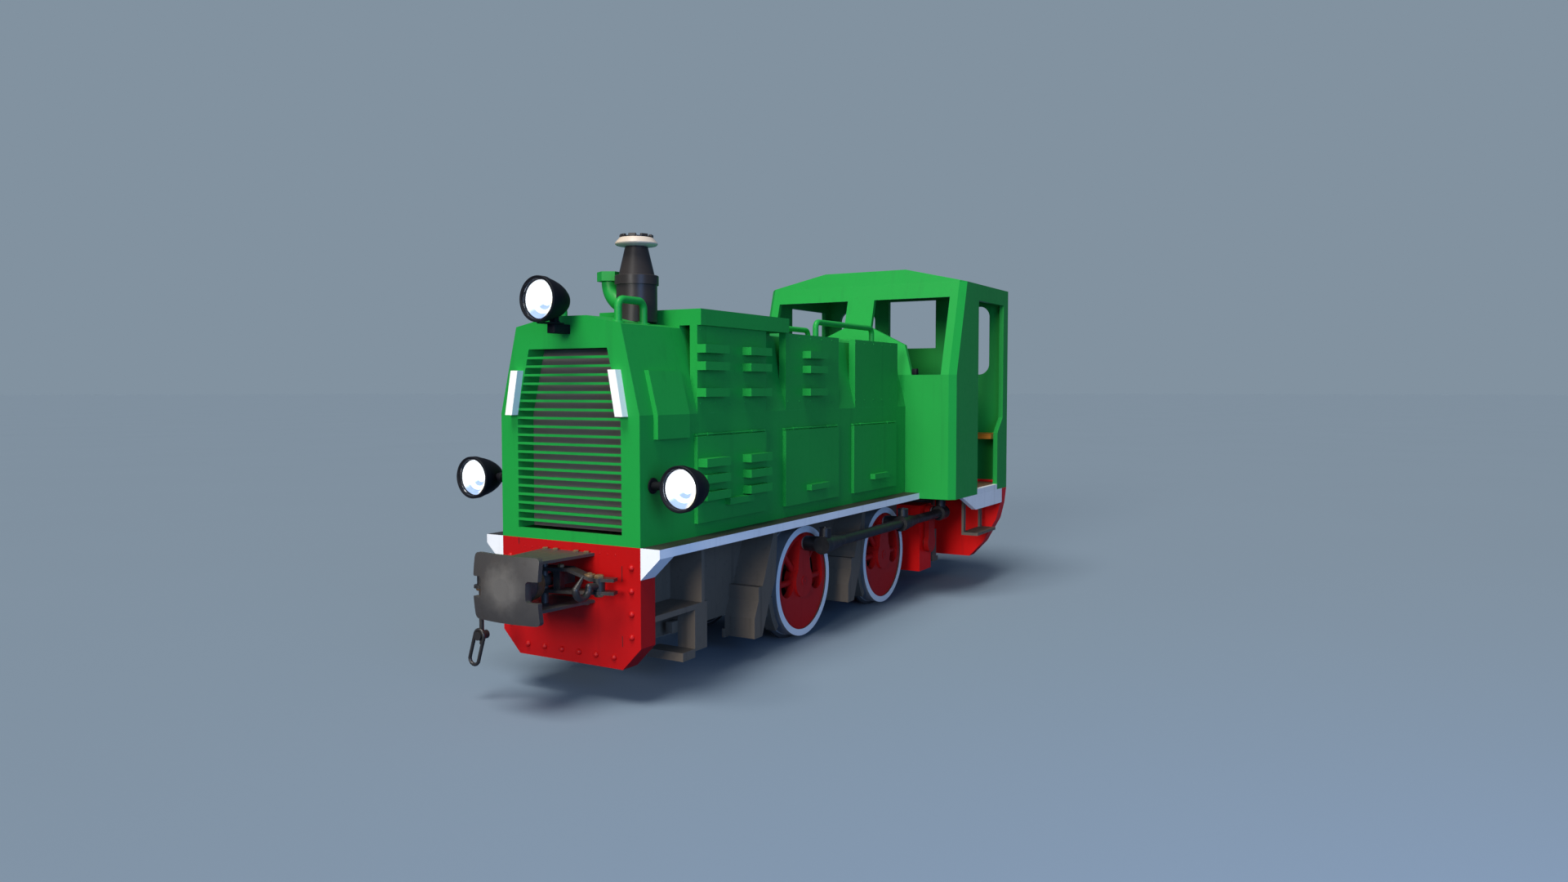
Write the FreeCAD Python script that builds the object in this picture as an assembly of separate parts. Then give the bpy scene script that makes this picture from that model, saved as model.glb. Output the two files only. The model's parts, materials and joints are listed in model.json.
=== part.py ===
"""Narrow-gauge diesel shunting locomotive with rod drive and a rear cab.

Frame: +X forwards, +Y to the left, +Z up, millimetres. The origin is on the centre line, half way
between the two buffer heads, at the height of the lowest point of the wheel flanges.
Lengths named "back" are measured rearwards from the front face of the hood, heights named "up" are
measured from the top of the frame deck.
"""

import FreeCAD, Part
import math
import os

from FreeCAD import Vector

# ---------------------------------------------------------------- driving dimensions
# Wheels and drive
WHEEL_R = 387.0          # rolling radius
FLANGE_H = 28.0          # flange depth below the rolling radius
AXLE_DROP = 486.0        # axle centre below the deck
FRONT_AXLE_BACK = 1925.0
WHEELBASE = 1358.0
JACKSHAFT_BASE = 830.0   # rear axle to jackshaft
CRANK_R = 269.0
TYRE_FACE = 467.0        # outer face of the tyre from the centre line
TYRE_W = 100.0
FLANGE_W = 27.0
FLANGE_TIP_W = 18.0
TYRE_T = 45.0
HUB_R = 118.0
AXLE_R = 65.0
PIN_COLLAR_R = 45.0
PIN_R = 32.0
PIN_CLEAR = 0.08         # running clearance on the driven crank pin
OPEN_PIN_CLEAR = 2.0     # clearance on the two pins where the rod linkage is open
AXLE_CLEAR = 0.08
ROD_Y = 637.0            # middle plane of the coupling rods
ROD_R = 37.0
BOSS_R = 63.0            # barrel of a rod's boss, along the rod
BOSS_AHEAD = 58.0        # its front end ahead of the pin, and the last one's rear end behind it
BOSS_TAPER = 260.0       # it tapers to the rod this far behind the pin
SLEEVE_R = 53.0          # sleeve round the pin, towards the wheel
SLEEVE_GAP = 16.0        # from a crank's outer face to the sleeve on its pin
PIN_DEPTH = 30.0         # a pin ends this far past the rod's centre line
BORE_PAST = 5.0          # the bore goes this much deeper
CUP_R = 42.0
CUP_TOP = 113.0          # top of an oil cup above the rod's centre line

# Body
HOOD_LEN = 3615.0
CAB_LEN = 1375.0
BEAM_T = 130.0
BUFFER_REACH = 532.0     # buffer face ahead of the beam
HOOD_HALF = 510.0
HOOD_WALL = 8.0
SHOULDER_UP = 723.0      # where the hood side starts to lean in
EAVE_HALF = 384.0
EAVE_UP = 1226.0
CROWN = ((257.0, 1251.0), (145.0, 1278.0))   # (half width, up) above the eave
CROWN_UP = 1279.0
NOSE_T = 30.0
GRILLE_DEPTH = 130.0     # front face to the radiator core
GRILLE_TOP = (288.0, 1095.0)                 # (half width, up)
GRILLE_MID = (380.0, SHOULDER_UP)
GRILLE_FOOT = (383.0, 58.0)
SLAT_COUNT = 20
SLAT_H = 14.0
SLAT_D = 25.0
RADIATOR_T = 100.0

BOARD_HALF = 641.0
BOARD_T = 51.0
BRACKET_DROP = 178.0
BEAM_FOOT_UP = -688.0

CAB_HALF = 944.0
CAB_CHAMFER = 51.0
CAB_FOOT_UP = -47.0
CAB_SILL_UP = 986.0
CAB_EAVE_UP = 1770.0
CAB_RAKE = 235.0         # how far the windscreen leans back over its height
CAB_WALL = 40.0
ROOF_RISE = 127.0        # roof top above the eaves
ROOF_FLAT_HALF = 390.0
ROOF_RAKE = 34.0
ROOF_LIP = 60.0          # the roof's underside reaches in from the walls

# ---------------------------------------------------------------- derived places
BODY_LEN = HOOD_LEN + CAB_LEN
DECK_Z = WHEEL_R + FLANGE_H + AXLE_DROP
AXLE_Z = WHEEL_R + FLANGE_H
NOSE_X = BODY_LEN / 2
CAB_BACK = BODY_LEN
ROOF_UP = CAB_EAVE_UP + ROOF_RISE


def at(back):
    """X of a place that lies this far behind the nose."""
    return NOSE_X - back


def up(height):
    """Z of a place this far above the deck."""
    return DECK_Z + height


FRONT_AXLE_X = at(FRONT_AXLE_BACK)
REAR_AXLE_X = FRONT_AXLE_X - WHEELBASE
JACK_X = REAR_AXLE_X - JACKSHAFT_BASE
JACK_BACK = FRONT_AXLE_BACK + WHEELBASE + JACKSHAFT_BASE


def ahead_of_rear(distance):
    """X of a place this far ahead of the cab's rear face."""
    return at(CAB_BACK - distance)


# ---------------------------------------------------------------- small helpers
def box(x0, x1, y0, y1, z0, z1):
    """Block between two corners, given in any order."""
    xs, ys, zs = sorted((x0, x1)), sorted((y0, y1)), sorted((z0, z1))
    return Part.makeBox(xs[1] - xs[0], ys[1] - ys[0], zs[1] - zs[0], Vector(xs[0], ys[0], zs[0]))


def prism(points, along):
    """Closed outline of (x, y, z) points pushed along a vector."""
    wire = Part.makePolygon([Vector(*p) for p in points] + [Vector(*points[0])])
    return Part.Face(wire).extrude(Vector(*along))


def prism_x(outline, x0, x1):
    """Outline of (y, z) pushed from x0 to x1."""
    return prism([(x0, y, z) for y, z in outline], (x1 - x0, 0, 0))


def prism_y(outline, y0, y1):
    """Outline of (x, z) pushed from y0 to y1."""
    return prism([(x, y0, z) for x, z in outline], (0, y1 - y0, 0))


def prism_z(outline, z0, z1):
    """Outline of (x, y) pushed from z0 to z1."""
    return prism([(x, y, z0) for x, y in outline], (0, 0, z1 - z0))


def rod(radius, start, end):
    """Round bar between two points."""
    a, b = Vector(*start), Vector(*end)
    return Part.makeCylinder(radius, (b - a).Length, a, b - a)


def cone(r0, r1, start, end):
    """Round taper between two points."""
    a, b = Vector(*start), Vector(*end)
    return Part.makeCone(r0, r1, (b - a).Length, a, b - a)


def fuse(shapes):
    """One solid from touching or overlapping shapes."""
    first, rest = shapes[0], shapes[1:]
    return first.fuse(rest).removeSplitter() if rest else first


def mirror(shape):
    """The same shape on the other side of the centre line."""
    return shape.mirror(Vector(0, 0, 0), Vector(0, 1, 0))


def both(shape):
    """A shape and its mirror image, which don't touch."""
    return Part.makeCompound([shape, mirror(shape)])


def symmetric(half):
    """Closed (y, z) outline from its left half, listed from the top down."""
    return [(y, z) for y, z in half] + [(-y, z) for y, z in reversed(half)]


NODES = {}


def keep(name, shape):
    """File a finished sub-part under its node name."""
    NODES[name] = shape


# ---------------------------------------------------------------- frame and beams
FRAME_Y = (250.0, 280.0)
FRAME_FOOT_UP = -612.0
AXLEBOX_HALF = 100.0
AXLEBOX_TOP_UP = -330.0
AXLEBOX_OUT = 15.0            # axle boxes stand this far out of the plates on both sides
SLOT_CLEAR = 0.3
DRIVE_AHEAD = 144.0          # case ahead of the jackshaft's centre
DRIVE_BEHIND = 117.0
DRIVE_BACK = (JACK_BACK - DRIVE_AHEAD, JACK_BACK + DRIVE_BEHIND)
DRIVE_UP = (-728.0, -150.0)
DRIVE_HALF = 500.0
STRETCHER_T = 30.0
STRETCHER_FOOT = 60.0         # stretchers end this far above the plates' lower edge
FRONT_STRETCHER_AHEAD = 925.0 # ahead of the front axle
REAR_STRETCHER_IN = 290.0     # ahead of the cab's rear face
STRETCHERS_BACK = (FRONT_AXLE_BACK - FRONT_STRETCHER_AHEAD, FRONT_AXLE_BACK + WHEELBASE / 2,
                   CAB_BACK - REAR_STRETCHER_IN)


def main_frame():
    """Two deep side plates, the deck plate under the hood and three cross stretchers."""
    rear = CAB_BACK - BEAM_T
    plate = box(at(BEAM_T), at(rear), FRAME_Y[0], FRAME_Y[1], up(FRAME_FOOT_UP), up(-BOARD_T))
    for x in (FRONT_AXLE_X, REAR_AXLE_X):
        half = AXLEBOX_HALF + SLOT_CLEAR
        slot = box(x - half, x + half, FRAME_Y[0] - 1, FRAME_Y[1] + 1,
                   up(FRAME_FOOT_UP) - 1, up(AXLEBOX_TOP_UP) + SLOT_CLEAR)
        plate = plate.cut(slot)
    drive_gap = box(at(DRIVE_BACK[0]), at(DRIVE_BACK[1]), FRAME_Y[0] - 1, FRAME_Y[1] + 1,
                    up(FRAME_FOOT_UP) - 1, up(DRIVE_UP[1]))
    plate = plate.cut(drive_gap)
    deck = box(at(BEAM_T), at(HOOD_LEN), -HOOD_HALF, HOOD_HALF, up(-BOARD_T), up(0))
    rear_deck = box(at(HOOD_LEN), at(rear), -FRAME_Y[1], FRAME_Y[1], up(-BOARD_T), up(CAB_FOOT_UP))
    stretchers = [box(at(b), at(b + STRETCHER_T), -FRAME_Y[0], FRAME_Y[0], up(FRAME_FOOT_UP) + STRETCHER_FOOT,
                      up(-BOARD_T)) for b in STRETCHERS_BACK]
    return fuse([plate, mirror(plate), deck, rear_deck] + stretchers)


FRONT_CORNER = 127.0          # width of the front beam's cut-off corner
FRONT_BEAM = ((HOOD_HALF, 0.0), (HOOD_HALF, -557.0), (HOOD_HALF - FRONT_CORNER, BEAM_FOOT_UP))
# (in from the cab's side, up) down the edge of the rear beam
REAR_BEAM_EDGE = ((0.0, CAB_FOOT_UP), (16.0, -190.0), (52.0, -336.0), (176.0, -560.0), (309.0, -702.0))
REAR_BEAM = [(CAB_HALF - inset, z) for inset, z in REAR_BEAM_EDGE]


def beam(half_outline, back):
    """Buffer beam: a thick plate with cut-off lower corners."""
    outline = symmetric([(y, up(z)) for y, z in half_outline])
    return prism_x(outline, at(back), at(back + BEAM_T))


def running_board():
    """Left running board with the deep bracket at its front end."""
    board = box(at(0), at(HOOD_LEN), HOOD_HALF, BOARD_HALF, up(-BOARD_T), up(0))
    bracket = prism_x([(HOOD_HALF, up(-BOARD_T)), (BOARD_HALF, up(-BOARD_T)),
                       (HOOD_HALF, up(-BRACKET_DROP))], at(0), at(BEAM_T))
    return fuse([board, bracket])


# ---------------------------------------------------------------- hood
def hood_outline(inset=0.0, foot=0.0):
    """Closed (y, z) outline of the hood, drawn in by a wall thickness."""
    half = [(CROWN[1][0], CROWN[1][1] - inset), (CROWN[0][0], CROWN[0][1] - inset),
            (EAVE_HALF - inset, EAVE_UP - inset), (HOOD_HALF - inset, SHOULDER_UP),
            (HOOD_HALF - inset, foot)]
    top = [(0.0, CROWN_UP - inset)]
    left = [(y, up(z)) for y, z in top + half]
    right = [(-y, up(z)) for y, z in reversed(half)]
    return left + right


def grille_outline(inset=0.0):
    """Closed (y, z) outline of the grille opening."""
    half = [GRILLE_TOP, GRILLE_MID, GRILLE_FOOT]
    return symmetric([(y - inset, up(z)) for y, z in half])


DOOR_COUNT = 3
DOOR_LEN = 785.0
FIRST_DOOR_BACK = 514.0
LAST_DOOR_MARGIN = 240.0    # the last door ends this far ahead of the cab
DOOR_PITCH = (HOOD_LEN - LAST_DOOR_MARGIN - DOOR_LEN - FIRST_DOOR_BACK) / (DOOR_COUNT - 1)
DOOR_BACKS = [FIRST_DOOR_BACK + i * DOOR_PITCH for i in range(DOOR_COUNT)]
DOOR_UP = (78.0, 590.0)
DOOR_T = 25.0
DOOR_GAP = 0.5
DOOR_LAP = 20.0
HINGE_R = 6.0
HINGE_LIFT = 10.0           # hinge axis above the door's upper edge
HINGE_UP = DOOR_UP[1] + HINGE_LIFT
KNUCKLE_R = 9.0
KNUCKLE_GAP = 5.0           # knuckles clear the hood's side
HINGE_OUT = HOOD_HALF + KNUCKLE_GAP + KNUCKLE_R
LUG_HALF = 6.0
KNUCKLE_LEN = 60.0
HINGE_CLEAR = 0.08
KNUCKLE_AT = (0.18, 0.82)   # shares of the door's length
STRAP_T = 14.0
HANDLE_BACK = (290.0, 565.0)                # behind the door's front edge
HANDLE_LIFT = 88.0                          # above the door's lower edge
HANDLE_H = 40.0
HANDLE_OUT = 40.0


def door_opening(back, side=1):
    """The hole in the hood's side behind one flap."""
    return box(at(back + DOOR_LAP), at(back + DOOR_LEN - DOOR_LAP),
               side * (HOOD_HALF - 2 * HOOD_WALL), side * (HOOD_HALF + 1),
               up(DOOR_UP[0] + DOOR_LAP), up(DOOR_UP[1] - DOOR_LAP))


def hinge_rail(back):
    """Fixed hinge rod over one left flap, with its end lugs."""
    x0, x1 = at(back), at(back + DOOR_LEN)
    pieces = [rod(HINGE_R, (x1, HINGE_OUT, up(HINGE_UP)), (x0, HINGE_OUT, up(HINGE_UP)))]
    for x in (x0 - LUG_HALF, (x0 + x1) / 2, x1 + LUG_HALF):
        pieces.append(box(x - LUG_HALF, x + LUG_HALF, HOOD_HALF - 1, HINGE_OUT + LUG_HALF,
                          up(HINGE_UP) - LUG_HALF, up(HINGE_UP) + LUG_HALF))
    return fuse(pieces)


def hood():
    """Sheet hood over the engine: upright sides, leaning upper sides and a low crown."""
    shell = prism_x(hood_outline(), at(NOSE_T), at(HOOD_LEN))
    hollow = prism_x(hood_outline(HOOD_WALL, -1.0), at(NOSE_T) + 1, at(HOOD_LEN) - 1)
    shell = shell.cut(hollow)
    for back in DOOR_BACKS:
        shell = shell.cut(door_opening(back)).cut(door_opening(back, -1))
    rails = [hinge_rail(back) for back in DOOR_BACKS]
    cover = side_cover()
    return fuse([shell] + rails + [mirror(r) for r in rails] + [cover, mirror(cover)])


COVER_BACK = (125.0, 430.0)
COVER_UP = (588.0, 971.0)
COVER_T = 30.0


def side_cover():
    """Raised cover plate on the left side of the hood, just behind the nose."""
    lean = (HOOD_HALF - EAVE_HALF) / (EAVE_UP - SHOULDER_UP)
    top_y = HOOD_HALF - lean * (COVER_UP[1] - SHOULDER_UP)
    outline = [(HOOD_HALF - 1, up(COVER_UP[0])), (HOOD_HALF + COVER_T, up(COVER_UP[0])),
               (HOOD_HALF + COVER_T, up(SHOULDER_UP)), (top_y + COVER_T, up(COVER_UP[1])),
               (top_y - 1, up(COVER_UP[1])), (HOOD_HALF - 1, up(SHOULDER_UP))]
    return prism_x(outline, at(COVER_BACK[0]), at(COVER_BACK[1]))


def nose_panel():
    """Front plate of the hood with the grille opening and its deep surround."""
    plate = prism_x(hood_outline(), at(0), at(NOSE_T))
    surround = prism_x(grille_outline(-HOOD_WALL), at(NOSE_T), at(GRILLE_DEPTH))
    opening = prism_x(grille_outline(), at(0) + 1, at(GRILLE_DEPTH) - 1)
    return fuse([plate, surround]).cut(opening)


def grille_half(height):
    """Half width of the grille opening at a height above the deck."""
    low, high = (GRILLE_FOOT, GRILLE_MID) if height < GRILLE_MID[1] else (GRILLE_MID, GRILLE_TOP)
    share = (height - low[1]) / (high[1] - low[1])
    return low[0] + share * (high[0] - low[0])


def grille_slats():
    """Level slats across the grille opening, evenly spaced."""
    pitch = (GRILLE_TOP[1] - GRILLE_FOOT[1]) / (SLAT_COUNT + 1)
    slats = []
    for i in range(1, SLAT_COUNT + 1):
        mid = GRILLE_FOOT[1] + i * pitch
        low, high = mid - SLAT_H / 2, mid + SLAT_H / 2
        outline = symmetric([(grille_half(high), up(high)), (grille_half(low), up(low))])
        slats.append(prism_x(outline, at(0), at(SLAT_D)))
    return Part.makeCompound(slats)


def radiator():
    """Radiator core that closes the back of the grille surround."""
    return prism_x(grille_outline(-HOOD_WALL), at(GRILLE_DEPTH), at(GRILLE_DEPTH + RADIATOR_T))


MARKER = ((331.0, 973.0), (384.0, 973.0), (432.0, 716.0), (379.0, 716.0))  # (half width, up)
MARKER_T = 49.0


def marker_bars():
    """Two raised slanting bars on the nose, one each side of the grille."""
    outline = [(y, up(z)) for y, z in MARKER]
    return both(prism_x(outline, at(-MARKER_T), at(0)))


# front and rear end of the panel over each door, behind the door's front edge
PANEL_ENDS = ((37.0, 822.0), (42.0, 826.0), (63.0, 856.0))
PANEL_TOP_UP = 1242.0
PANEL_T = 52.0
SCOOP_OUT = 65.0
SCOOP_H = 50.0
SCOOP_LEN = 255.0
# (door, behind that door's front edge) of each column of louvres
UPPER_SCOOPS = ((0, 31.0), (0, 535.0), (1, 277.0))
UPPER_ROWS_UP = (1104.0, 1003.0, 847.0)
LOWER_SCOOPS = ((0, 7.0), (0, 496.0))
LOWER_ROWS_UP = (436.0, 340.0, 240.0)


def scoop(back, mid_up, face_y):
    """Box louvre that stands out from a left panel's face and is open to the rear."""
    return box(at(back), at(back + SCOOP_LEN), face_y - 1, face_y + SCOOP_OUT,
               up(mid_up - SCOOP_H / 2), up(mid_up + SCOOP_H / 2))


def upper_panels():
    """Three stand-off panels along the left upper side, seated on the leaning sheet."""
    lean = (HOOD_HALF - EAVE_HALF) / (EAVE_UP - SHOULDER_UP)
    seat_up = SHOULDER_UP + PANEL_T / lean
    outline = [(HOOD_HALF, up(SHOULDER_UP)), (HOOD_HALF, up(PANEL_TOP_UP)),
               (HOOD_HALF - PANEL_T, up(PANEL_TOP_UP)), (HOOD_HALF - PANEL_T, up(seat_up))]
    panels = []
    for i, (front, rear) in enumerate(PANEL_ENDS):
        back = DOOR_BACKS[i]
        panel = prism_x(outline, at(back + front), at(back + rear))
        scoops = [scoop(back + b, z, HOOD_HALF) for door, b in UPPER_SCOOPS if door == i
                  for z in UPPER_ROWS_UP]
        if scoops:
            panel = fuse([panel] + scoops)
        panels.append(panel)
    return Part.makeCompound(panels)


def hood_door(index):
    """Left top-hinged flap with its handle; the first one also has box louvres."""
    back = DOOR_BACKS[index]
    y0 = HOOD_HALF + DOOR_GAP
    leaf = box(at(back), at(back + DOOR_LEN), y0, y0 + DOOR_T, up(DOOR_UP[0]), up(DOOR_UP[1]))
    pieces = [leaf]
    for share in KNUCKLE_AT:
        x = at(back + share * DOOR_LEN)
        eye = rod(KNUCKLE_R, (x - KNUCKLE_LEN / 2, HINGE_OUT, up(HINGE_UP)),
                  (x + KNUCKLE_LEN / 2, HINGE_OUT, up(HINGE_UP)))
        strap = box(x - KNUCKLE_LEN / 2, x + KNUCKLE_LEN / 2, y0, y0 + STRAP_T,
                    up(DOOR_UP[1]) - 2, up(HINGE_UP))
        pieces += [eye, strap]
    pieces.append(box(at(back + HANDLE_BACK[0]), at(back + HANDLE_BACK[1]), y0,
                      y0 + DOOR_T + HANDLE_OUT, up(DOOR_UP[0] + HANDLE_LIFT),
                      up(DOOR_UP[0] + HANDLE_LIFT + HANDLE_H)))
    pieces += [scoop(back + b, z, y0 + DOOR_T - 1) for door, b in LOWER_SCOOPS if door == index
               for z in LOWER_ROWS_UP]
    door = fuse(pieces)
    bore = rod(HINGE_R + HINGE_CLEAR, (at(back + DOOR_LEN) - 1, HINGE_OUT, up(HINGE_UP)),
               (at(back) + 1, HINGE_OUT, up(HINGE_UP)))
    return door.cut(bore)


CASING_BACK = (DOOR_BACKS[0] + PANEL_ENDS[0][0], DOOR_BACKS[1] + PANEL_ENDS[1][0])
CASING_Y = (-221.0, 537.0)
CASING_UP = (1231.0, 1337.0)


def raised_casing():
    """Raised casing on the hood, which reaches from the right of the crown to the left edge."""
    block = box(at(CASING_BACK[0]), at(CASING_BACK[1]), CASING_Y[0], CASING_Y[1],
                up(EAVE_UP), up(CASING_UP[1]))
    under = prism_x(hood_outline(0.0, -1.0), at(CASING_BACK[0]) + 1, at(CASING_BACK[1]) - 1)
    edge = box(at(CASING_BACK[0]) + 1, at(CASING_BACK[1]) - 1, EAVE_HALF, CASING_Y[1] + 1,
               up(EAVE_UP) - 1, up(PANEL_TOP_UP))
    return block.cut(under).cut(edge)


STACK = (415.0, 175.0)    # (back, y)
STACK_SUNK = 18.0         # how far the drum reaches below the crown
# (radius below, radius above, up below, up above): drum, collar, taper, dish underside, dish
STACK_STAGES = ((120.0, 120.0, CROWN_UP - STACK_SUNK, 1476.0), (129.0, 129.0, 1474.0, 1530.0),
                (105.0, 66.0, 1528.0, 1702.0), (66.0, 125.0, 1700.0, 1716.0),
                (125.0, 100.0, 1716.0, 1750.0))
CROWN_RING = (98.0, 80.0, 1749.0, 1770.0)    # (outer radius, inner radius, up below, up above)
CROWN_NOTCHES = 4                            # slots right across the ring
CROWN_NOTCH_W = 24.0


def stack_crown(x, y):
    """Notched ring on top of the exhaust's dish."""
    outer, inner, low, high = CROWN_RING
    ring = rod(outer, (x, y, up(low)), (x, y, up(high))).cut(
        rod(inner, (x, y, up(low) + 1), (x, y, up(high) + 1)))
    for i in range(CROWN_NOTCHES):
        slot = box(x - outer - 1, x + outer + 1, y - CROWN_NOTCH_W / 2, y + CROWN_NOTCH_W / 2,
                   up(low + 2 * (high - low) / 5), up(high) + 1)
        slot.rotate(Vector(x, y, 0), Vector(0, 0, 1), i * 180.0 / CROWN_NOTCHES)
        ring = ring.cut(slot)
    return ring


def exhaust_stack():
    """Exhaust: drum on the hood, collar, taper, dished cap and its notched ring."""
    x, y = at(STACK[0]), STACK[1]
    pieces = [cone(a, b, (x, y, up(z0)), (x, y, up(z1))) if a != b
              else rod(a, (x, y, up(z0)), (x, y, up(z1))) for a, b, z0, z1 in STACK_STAGES]
    pieces.append(stack_crown(x, y))
    reach = 2 * STACK_STAGES[0][0]
    under = prism_x(hood_outline(0.0, -1.0), x - reach, x + reach)
    return fuse(pieces).cut(under)


INTAKE_FROM_STACK = 199.0   # intake's upright leg to the right of the stack
INTAKE_R = 50.0
INTAKE_BEND_R = 145.0       # its elbow turns into the stack's drum
INTAKE_UP = 1357.0          # centre line where the elbow would come level
INTAKE_CAP = (78.0, 1508.0, 1562.0)   # (radius, up below, up above)
INTAKE_SEAT = 0.3           # gap between the elbow and the drum that it meets


def intake_pipe():
    """Air pipe that turns up out of the side of the stack's drum to a six-sided cap."""
    x, y = at(STACK[0]), STACK[1] - INTAKE_FROM_STACK
    start = up(INTAKE_UP) + INTAKE_BEND_R
    ring = Part.Face(Part.Wire([Part.makeCircle(INTAKE_R, Vector(x, y, start), Vector(0, 0, 1))]))
    elbow = ring.revolve(Vector(x, y + INTAKE_BEND_R, start), Vector(1, 0, 0), 90)
    leg = rod(INTAKE_R, (x, y, start), (x, y, up(INTAKE_CAP[1])))
    corners = [(x + INTAKE_CAP[0] * math.cos(math.radians(60 * i)),
                y + INTAKE_CAP[0] * math.sin(math.radians(60 * i))) for i in range(6)]
    cap = prism_z(corners, up(INTAKE_CAP[1]) - 1, up(INTAKE_CAP[2]))
    drum = rod(STACK_STAGES[0][0] + INTAKE_SEAT, (x, STACK[1], up(EAVE_UP)), (x, STACK[1], start))
    return fuse([elbow, leg, cap]).cut(drum)


REAR_RAIL_AHEAD = (1205.0, 225.0)   # legs of the rear rails, ahead of the cab
RAILS = ((85.0, 315.0), (HOOD_LEN - REAR_RAIL_AHEAD[0], HOOD_LEN - REAR_RAIL_AHEAD[1]))   # back
RAIL_Y = 300.0
RAIL_R = 22.0
RAIL_UP = 1368.0
RAIL_BEND = 45.0
RAIL_SUNK = 11.0           # the legs start this far below the crown's corner


def handrail(front, rear):
    """Left inverted-U hand rail on the crown of the hood."""
    x0, x1, top = at(front), at(rear), up(RAIL_UP)
    low = up(CROWN[0][1] - RAIL_SUNK)
    b = RAIL_BEND
    k = b * (1 - math.sin(math.radians(45)))
    y = RAIL_Y
    path = Part.Wire([
        Part.LineSegment(Vector(x0, y, low), Vector(x0, y, top - b)).toShape(),
        Part.Arc(Vector(x0, y, top - b), Vector(x0 - k, y, top - k), Vector(x0 - b, y, top)).toShape(),
        Part.LineSegment(Vector(x0 - b, y, top), Vector(x1 + b, y, top)).toShape(),
        Part.Arc(Vector(x1 + b, y, top), Vector(x1 + k, y, top - k), Vector(x1, y, top - b)).toShape(),
        Part.LineSegment(Vector(x1, y, top - b), Vector(x1, y, low)).toShape()])
    ring = Part.Wire([Part.Circle(Vector(x0, y, low), Vector(0, 0, 1), RAIL_R).toShape()])
    rail = path.makePipeShell([ring], True, False)
    under = prism_x(hood_outline(0.0, -1.0), x0 + 2 * RAIL_R, x1 - 2 * RAIL_R)
    return rail.cut(under)


def handrails():
    """Four hand rails on the hood."""
    rails = [handrail(front, rear) for front, rear in RAILS]
    return Part.makeCompound(rails + [mirror(r) for r in rails])


# ---------------------------------------------------------------- lamps
LAMP_R = 127.0
LAMP_DEPTH = 227.0
LAMP_RIM = 40.0
LAMP_TAIL_R = 45.0
TOP_LAMP = (240.0, 1357.0)          # (lens ahead of the nose, up)
SIDE_LAMP = (765.0, 333.0)          # (half width, up); its lens is level with the nose
STUB_R = 24.0
STUB_IN = 60.0                      # how far the stub reaches into the shell
BRACKET_REACH = 130.0               # the top lamp's bracket ahead of the nose
BRACKET_HALF = 27.0
BRACKET_UP = (1176.0, 1228.0)
POST_D = 60.0
SEAT_PLATE = (190.0, 48.0, 6.0)     # (ahead of the nose, half width, thickness)
SHELL_MID = (0.55, 0.82)            # shares of the depth and of the radius where the shell kinks


def lamp(front_x, y, z):
    """Head lamp: a short rim and a shell that tapers to the rear."""
    rim_end = front_x - LAMP_RIM
    mid = front_x - SHELL_MID[0] * LAMP_DEPTH
    mid_r = SHELL_MID[1] * LAMP_R
    tail = front_x - LAMP_DEPTH
    return fuse([rod(LAMP_R, (rim_end, y, z), (front_x, y, z)),
                 cone(mid_r, LAMP_R - 4, (mid, y, z), (rim_end + 1, y, z)),
                 cone(LAMP_TAIL_R, mid_r, (tail, y, z), (mid, y, z))])


def headlamps():
    """Top lamp on its nose bracket, and a side lamp on a stub at each side."""
    z = up(TOP_LAMP[1])
    front = at(-TOP_LAMP[0])
    tip, foot, head = at(-BRACKET_REACH), up(BRACKET_UP[0]), up(BRACKET_UP[1])
    reach, half, thick = SEAT_PLATE
    post = box(tip, tip - POST_D, -BRACKET_HALF, BRACKET_HALF, head - 1, z)
    arm = box(tip, at(0), -BRACKET_HALF, BRACKET_HALF, foot, head)
    plate = box(at(-reach), tip - POST_D, -half, half, head - 1, head + thick)
    top = fuse([lamp(front, 0, z), post, arm, plate])
    y, z = SIDE_LAMP[0], up(SIDE_LAMP[1])
    x = at(LAMP_DEPTH / 2)
    side = fuse([lamp(at(0), y, z), rod(STUB_R, (x, HOOD_HALF, z), (x, y - STUB_IN, z))])
    return Part.makeCompound([top, side, mirror(side)])


# ---------------------------------------------------------------- cab
def cab_section(z_up, inset=0.0):
    """Level outline of the cab at one height, drawn in by a wall thickness."""
    rake = 0.0
    if z_up > CAB_SILL_UP:
        rake = CAB_RAKE * (z_up - CAB_SILL_UP) / (CAB_EAVE_UP - CAB_SILL_UP)
    front = at(HOOD_LEN + rake) - inset
    rear = at(CAB_BACK) + inset
    half = CAB_HALF - inset
    c = CAB_CHAMFER
    z = up(z_up)
    return [(front, half - c, z), (front - c, half, z), (rear, half, z),
            (rear, -half, z), (front - c, -half, z), (front, c - half, z)]


def cab_block(inset=0.0, foot=CAB_FOOT_UP, top=CAB_EAVE_UP):
    """Solid cab body up to the eaves, drawn in by a wall thickness."""
    wires = []
    for z_up in (foot, CAB_SILL_UP, top):
        pts = [Vector(*p) for p in cab_section(z_up, inset)]
        wires.append(Part.makePolygon(pts + [pts[0]]))
    lower = Part.makeLoft(wires[:2], True, True)
    upper = Part.makeLoft(wires[1:], True, True)
    return lower.fuse(upper).removeSplitter()


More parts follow.
